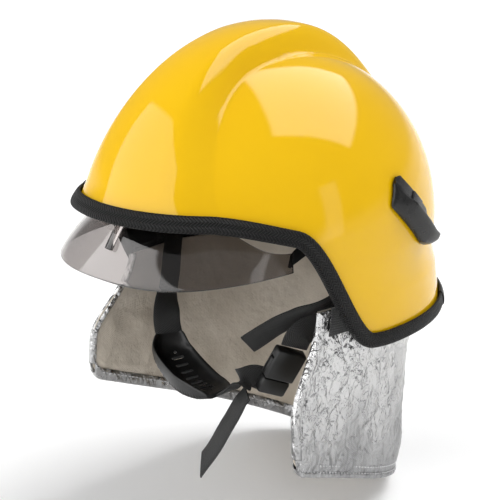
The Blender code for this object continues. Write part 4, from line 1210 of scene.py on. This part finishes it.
def wrinkled_lining(points, share, height):
    """The lining hangs loose: soft folds, deepest at the wearer's right, never through the curtain."""
    made = points.copy()
    x, y = points[..., 0], points[..., 1]
    inward = unit(np.stack([-x, -(y - CENTRE_Y), np.zeros_like(x)], axis=-1))
    hold = smoothstep((height - 0.12) / 0.35) * smoothstep((1 - height) / 0.12)
    loose = 0.25 + 0.75 * smoothstep((share - 0.80) / 0.08) * smoothstep((1.0 - share) / 0.02)
    calm_from, calm_to = LINING_CALM
    for i in range(points.shape[0]):
        for j in range(points.shape[1]):
            spot = Vector(points[i, j])
            soft = noise.noise(spot * 26.0) + 0.5 * noise.noise(spot * 60.0 + Vector((3, 0, 0)))
            crease = 1 - 2.2 * abs(noise.noise(Vector((spot.y * 42.0, spot.z * 20.0, 5.0))))
            push = 0.0016 + 0.0019 * soft + 0.0018 * max(crease, 0.0)
            calm = smoothstep((spot.z - calm_from) / (calm_to - calm_from)) * (spot.x < 0)
            made[i, j] += inward[i, j] * max(push, 0.0) * hold[i, 0] * loose[0, j] * (1 - calm)
    return made


def make_hem_fold():
    """The curtain's lower edge, turned in over the lining."""
    share = np.linspace(0.004, 0.996, 261)[None, :]
    rows = []
    for inset, rise in rounded(HEM_PROFILE, 1, closed=False):
        x, y = protector_plan(share, np.ones((1, 1)), inset)
        z = hem_z(x, y, share) + rise
        x, y = protector_plan(share, np.full((1, 1), 1 - rise / PROTECTOR_DROP), inset)
        rows.append(np.stack([x[0], y[0], z[0]], axis=-1))
    return cloth_piece("hem_fold", np.array(rows), "aluminised", FOLD_THICKNESS, 0)


def make_front_folds():
    """The curtain's two front edges, turned in over the lining's."""
    height = np.linspace(0.0, 0.995, 91)[None, :]
    folds = []
    for side, at, ahead in (("left", 0.0, 0.01), ("right", 1.0, 0.99)):
        rows = []
        for inset, back in rounded(FRONT_PROFILE, 1, closed=False):
            x, y = protector_plan(np.full((1, 1), at), height, inset)
            ahead_x, ahead_y = protector_plan(np.full((1, 1), ahead), height, inset)
            toward = unit(np.stack([ahead_x - x, ahead_y - y], axis=-1))
            x = x + toward[..., 0] * back
            y = y + toward[..., 1] * back
            z = cloth_z(x, y, at, height)
            rows.append(np.stack([x[0], y[0], z[0]], axis=-1))
        points = np.array(rows)
        folds.append(cloth_piece(f"front_fold_{side}", points, "aluminised", FOLD_THICKNESS, 0))
    return folds


def make_protector_stitches():
    """Two rows of stitching along the hem and up each front edge, and one on the hem's fold."""
    shapes = []
    share = np.linspace(0.012, 0.988, 400)[None, :]
    for rise, inset in HEM_STITCHES:
        line = cloth_row(share, np.full((1, 1), 1 - rise / PROTECTOR_DROP), inset, rise)
        outs = (line - (0, CENTRE_Y, 0)) * (1, 1, 0) * (1 if inset < 0 else -1)
        shapes += stitch_row(line, outs)
    height = np.linspace(0.04, 0.97, 80)[None, :]
    for at in (*FRONT_STITCHES, *[1 - back for back in FRONT_STITCHES]):
        line = cloth_row(np.full((1, 1), at), height, -0.0004)
        shapes += stitch_row(line, line * (1, 0, 0))
    return join_shapes("curtain_stitching", shapes, PAINT["grey_thread"], "helmet")


# ---------------------------------------------------------------- leather pads


def band_height(phi):
    share = smoothstep((np.sin(phi) + 1) / 2)
    return 0.012 - 0.034 * share, 0.015 - 0.003 * share


def pad_piece(name, outer, inner, node):
    """A closed pad between two faces of points, its inner face crowned between its edges."""
    rows, columns = outer.shape[:2]
    across = np.linspace(0, 1, rows)[:, None]
    along = np.linspace(0, 1, columns)[None, :]
    crown = np.clip(16 * across * (1 - across) * np.minimum(along, 1 - along) * 6, 0, 4) / 4
    crown = crown * (0.80 + 0.20 * np.cos(along * pi * 14))
    inner = inner + unit(inner - outer) * (PAD_BULGE * (crown - 0.6))[..., None]
    points = np.transpose(np.concatenate([outer, inner[::-1]]), (1, 0, 2))
    made = grid_piece(
        name, points, PAINT["leather"], "helmet", ring=True, caps=True, smooth_angle=55
    )
    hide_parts(node)


def make_pads():
    across = np.linspace(-1, 1, 13)[:, None]
    phi = np.radians(np.linspace(-90 - BROW_END_ANGLE, -90 + BROW_END_ANGLE, 90))[None, :]
    centre, half = band_height(phi)
    z = centre - 0.002 + (half + 0.002) * across
    faces = []
    for inset in BROW_FACES:
        x = (BAND_HALF_WIDTH - inset) * np.cos(phi)
        y = BAND_CENTRE_Y + (BAND_HALF_LENGTH - inset) * np.sin(phi)
        faces.append(np.stack(np.broadcast_arrays(x, y, z), axis=-1))
    pad_piece("brow_cushion", *faces, "brow_pad")

    angle = np.radians(np.linspace(-NAPE_END_ANGLE, NAPE_END_ANGLE, 40))[None, :]
    z = NAPE_Z[0] + NAPE_Z[1] * across
    faces = []
    for radius in NAPE_RADII:
        x = radius * np.sin(angle)
        y = NAPE_CENTRE_Y + radius * np.cos(angle)
        faces.append(np.stack(np.broadcast_arrays(x, y, z), axis=-1))
    pad_piece("nape_cushion", *faces, "nape_pad")


# ---------------------------------------------------------------- small fittings


def knurled_knob():
    """The ratchet's knob: grip ribs round a dished cap."""
    low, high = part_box("ratchet_knob")
    centre_z = (low.z + high.z) / 2
    radius = (high.x - low.x) / 2
    profile = [
        (0.0, low.y), (0.60, low.y), (0.97, low.y + 0.0004), (1.0, low.y + 0.0014),
        (0.965, low.y + 0.0070), (0.925, high.y - 0.0012), (0.87, high.y - 0.0002),
        (0.80, high.y), (0.74, high.y - 0.0006), (0.70, high.y - 0.0016),
        (0.35, high.y - 0.0020), (0.0, high.y - 0.0018),
    ]
    count, ribs = 144, 24
    rows = []
    for share, y in rounded(profile, 1, closed=False):
        ring = []
        for k in range(count):
            angle = 2 * pi * k / count
            groove = (0.5 + 0.5 * cos(ribs * angle)) * (share > 0.82) * (y < high.y - 0.0008)
            reach = radius * share * (1 - 0.045 * groove)
            ring.append((reach * cos(angle), y, centre_z + reach * sin(angle)))
        rows.append(ring)
    knob = grid_piece(
        "knurled_knob", np.array(rows), PAINT["plastic"], "adjuster_knob",
        ring=True, caps=True,
    )
    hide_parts("ratchet_knob")


def smooth_group():
    """Geometry nodes that weld a CAD mesh and shade it smooth except at its real edges."""
    tree = bpy.data.node_groups.new("Smooth by edge angle", "GeometryNodeTree")
    for way in ("INPUT", "OUTPUT"):
        tree.interface.new_socket("Geometry", in_out=way, socket_type="NodeSocketGeometry")
    graph = Graph(tree)
    start = graph.node("NodeGroupInput").outputs[0]
    values = {"Name": "custom_normal"}
    forget = graph.node("GeometryNodeRemoveAttribute", {"Geometry": start}, values).outputs[0]
    values = {"Distance": WELD_DISTANCE}
    weld = graph.node("GeometryNodeMergeByDistance", {"Geometry": forget}, values).outputs[0]
    faces = graph.node("GeometryNodeSetShadeSmooth", {"Geometry": weld}, domain="FACE").outputs[0]
    angle = graph.node("GeometryNodeInputMeshEdgeAngle").outputs["Unsigned Angle"]
    sharp = graph.node("FunctionNodeCompare", {0: angle}, {1: SHARP_ANGLE}, operation="GREATER_THAN")
    edges = graph.node(
        "GeometryNodeSetShadeSmooth", {"Geometry": faces, "Selection": sharp.outputs[0]},
        {"Shade Smooth": False}, domain="EDGE",
    )
    graph.node("NodeGroupOutput", {0: edges.outputs[0]})
    return tree


def both(*kinds):
    """The names of parts that come as a left and a right one."""
    return [f"{kind}_{side}" for kind in kinds for side in ("left", "right")]


def dress_cad_nodes():
    """Every CAD node that stays gets its material and smooth shading; most also get slightly broken
    edges.
    """
    plastic = ["headband", "ratchet_base", "ratchet_cover", "buckle_socket", "buckle_plug"]
    plastic += ["buckle_prong_front", "buckle_prong_rear", "cradle_clip_front"]
    plastic += both("headband_tail", "cradle_clip", "visor_arm", "side_frame")
    steel = ["ratchet_pinion", *[f"protector_stud_{i + 1}" for i in range(4)]]
    steel += both("visor_pivot_bolt", "visor_washer", "strap_anchor")
    steel += [f"{screw}_{i}" for screw in both("bracket_screw") for i in (1, 2)]
    woven = ["cradle_strap_side", "cradle_strap_front_rear", "protector_band", *both("protector_tab")]
    dressed = (
        (plastic, "plastic", 0.0003), (steel, "steel", 0.0002), (woven, "woven", 0.0),
        (["impact_liner"], "foam", 0.0006), (["visor_grip"], "glass", 0.0),
    )
    smooth = smooth_group()
    for names, paint, bevel in dressed:
        for name in names:
            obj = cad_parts[name]
            for index in range(len(obj.material_slots)):
                obj.material_slots[index].material = PAINT[paint]
            modifier = obj.modifiers.new("Smooth", "NODES")
            modifier.node_group = smooth
            if bevel:
                round_edges(obj, bevel, angle=SHARP_ANGLE)


# ---------------------------------------------------------------- stage


def direction(azimuth, elevation):
    """The way to a spot seen from the object: azimuth 0 is straight in front of it."""
    level = cos(elevation)
    return Vector((sin(azimuth) * level, -cos(azimuth) * level, sin(elevation)))


def studio_world():
    """A pale room with soft boxes in it, white at the horizon."""
    world = bpy.data.worlds.new("Studio")
    world.use_nodes = True
    graph = Graph(world.node_tree)
    ray = graph.node("ShaderNodeTexCoord").outputs["Generated"]

    def dot(vector):
        made = graph.node("ShaderNodeVectorMath", {0: ray}, {1: vector}, operation="DOT_PRODUCT")
        return made.outputs["Value"]

    def fade(value, none, full):
        """0 where the value is none and 1 where it is full, smooth between them."""
        made = graph.node(
            "ShaderNodeMapRange", {"Value": value}, {"From Min": none, "From Max": full},
            interpolation_type="SMOOTHSTEP",
        )
        return made.outputs["Result"]

    def inside(side, toward, half_angle):
        """1 inside two edges of a box and 0 outside them, with a soft border."""
        limit = sin(radians(half_angle)) / cos(radians(half_angle))
        amount = graph.math("ABSOLUTE", graph.math("DIVIDE", dot(side), toward))
        return fade(amount, limit + BOX_BORDER, limit - BOX_BORDER)

    total = ROOM_BRIGHTNESS
    for azimuth, elevation, half_width, half_height, brightness in SOFT_BOXES:
        facing = direction(radians(azimuth), radians(elevation))
        side = Vector((0, 0, 1)).cross(facing).normalized()
        toward = graph.math("MAXIMUM", dot(facing), 0.001)
        wide = inside(side, toward, half_width)
        high = inside(facing.cross(side), toward, half_height)
        glow = graph.math("MULTIPLY", graph.math("MULTIPLY", wide, high), brightness)
        total = graph.math("ADD", glow, total)
    horizon = fade(dot((0.0, 0.0, 1.0)), HORIZON_GLOW[1], HORIZON_GLOW[0])
    total = graph.math("ADD", graph.math("MULTIPLY", horizon, 1.0 - ROOM_BRIGHTNESS), total)
    background = graph.tree.nodes["Background"]
    background.inputs["Color"].default_value = (1.0, 1.0, 1.0, 1.0)
    graph.tree.links.new(total, background.inputs["Strength"])
    bpy.context.scene.world = world


def make_stage():
    floor_z = CAD_BOX[0].z - FLOOR_GAP
    signs = ((-1, -1), (1, -1), (1, 1), (-1, 1))
    corners = [(x * FLOOR_REACH, y * FLOOR_REACH, floor_z) for x, y in signs]
    mesh = bpy.data.meshes.new("floor")
    mesh.from_pydata(corners, [], [(0, 1, 2, 3)])
    mesh.materials.append(Shade("Pale floor", (0.97, 0.97, 0.97), 0.9).material)
    floor = bpy.data.objects.new("floor", mesh)
    bpy.context.scene.collection.objects.link(floor)
    studio_world()
    bpy.context.scene.view_settings.view_transform = "Standard"


def make_camera():
    data = bpy.data.cameras.new("camera")
    data.lens = CAMERA_LENS
    data.shift_x, data.shift_y = CAMERA_SHIFT
    camera = bpy.data.objects.new("camera", data)
    back = direction(CAMERA_AZIMUTH, CAMERA_ELEVATION)
    camera.location = back * CAMERA_DISTANCE
    camera.rotation_euler = back.to_track_quat("Z", "Y").to_euler()
    bpy.context.scene.collection.objects.link(camera)
    bpy.context.scene.camera = camera


# ---------------------------------------------------------------- the helmet

PAINT = {
    "yellow": yellow_gloss(),
    "shell_inside": black_plastic("Dark shell inside", 0.55, 0.022),
    "rubber": herringbone_rubber(),
    "smooth_rubber": smooth_rubber(),
    "plastic": black_plastic(),
    "bracket": black_plastic("Black bracket plastic", 0.27, 0.011),
    "cup": black_plastic("Soft black rubber", 0.40, 0.009),
    "webbing": woven_webbing(),
    "woven": woven_tape(),
    "aluminised": aluminised_cloth(),
    "lining": beige_lining(),
    "leather": tan_leather(),
    "foam": bead_foam(),
    "steel": plated_steel(),
    "glass": tinted_glass(),
    "grey_thread": grey_thread(),
}

make_camera()
make_shell()
make_trim()
make_lens()
make_brackets()
make_cup()
make_straps()
make_neck_protector()
make_pads()
knurled_knob()
dress_cad_nodes()
make_stage()

bpy.context.view_layer.update()
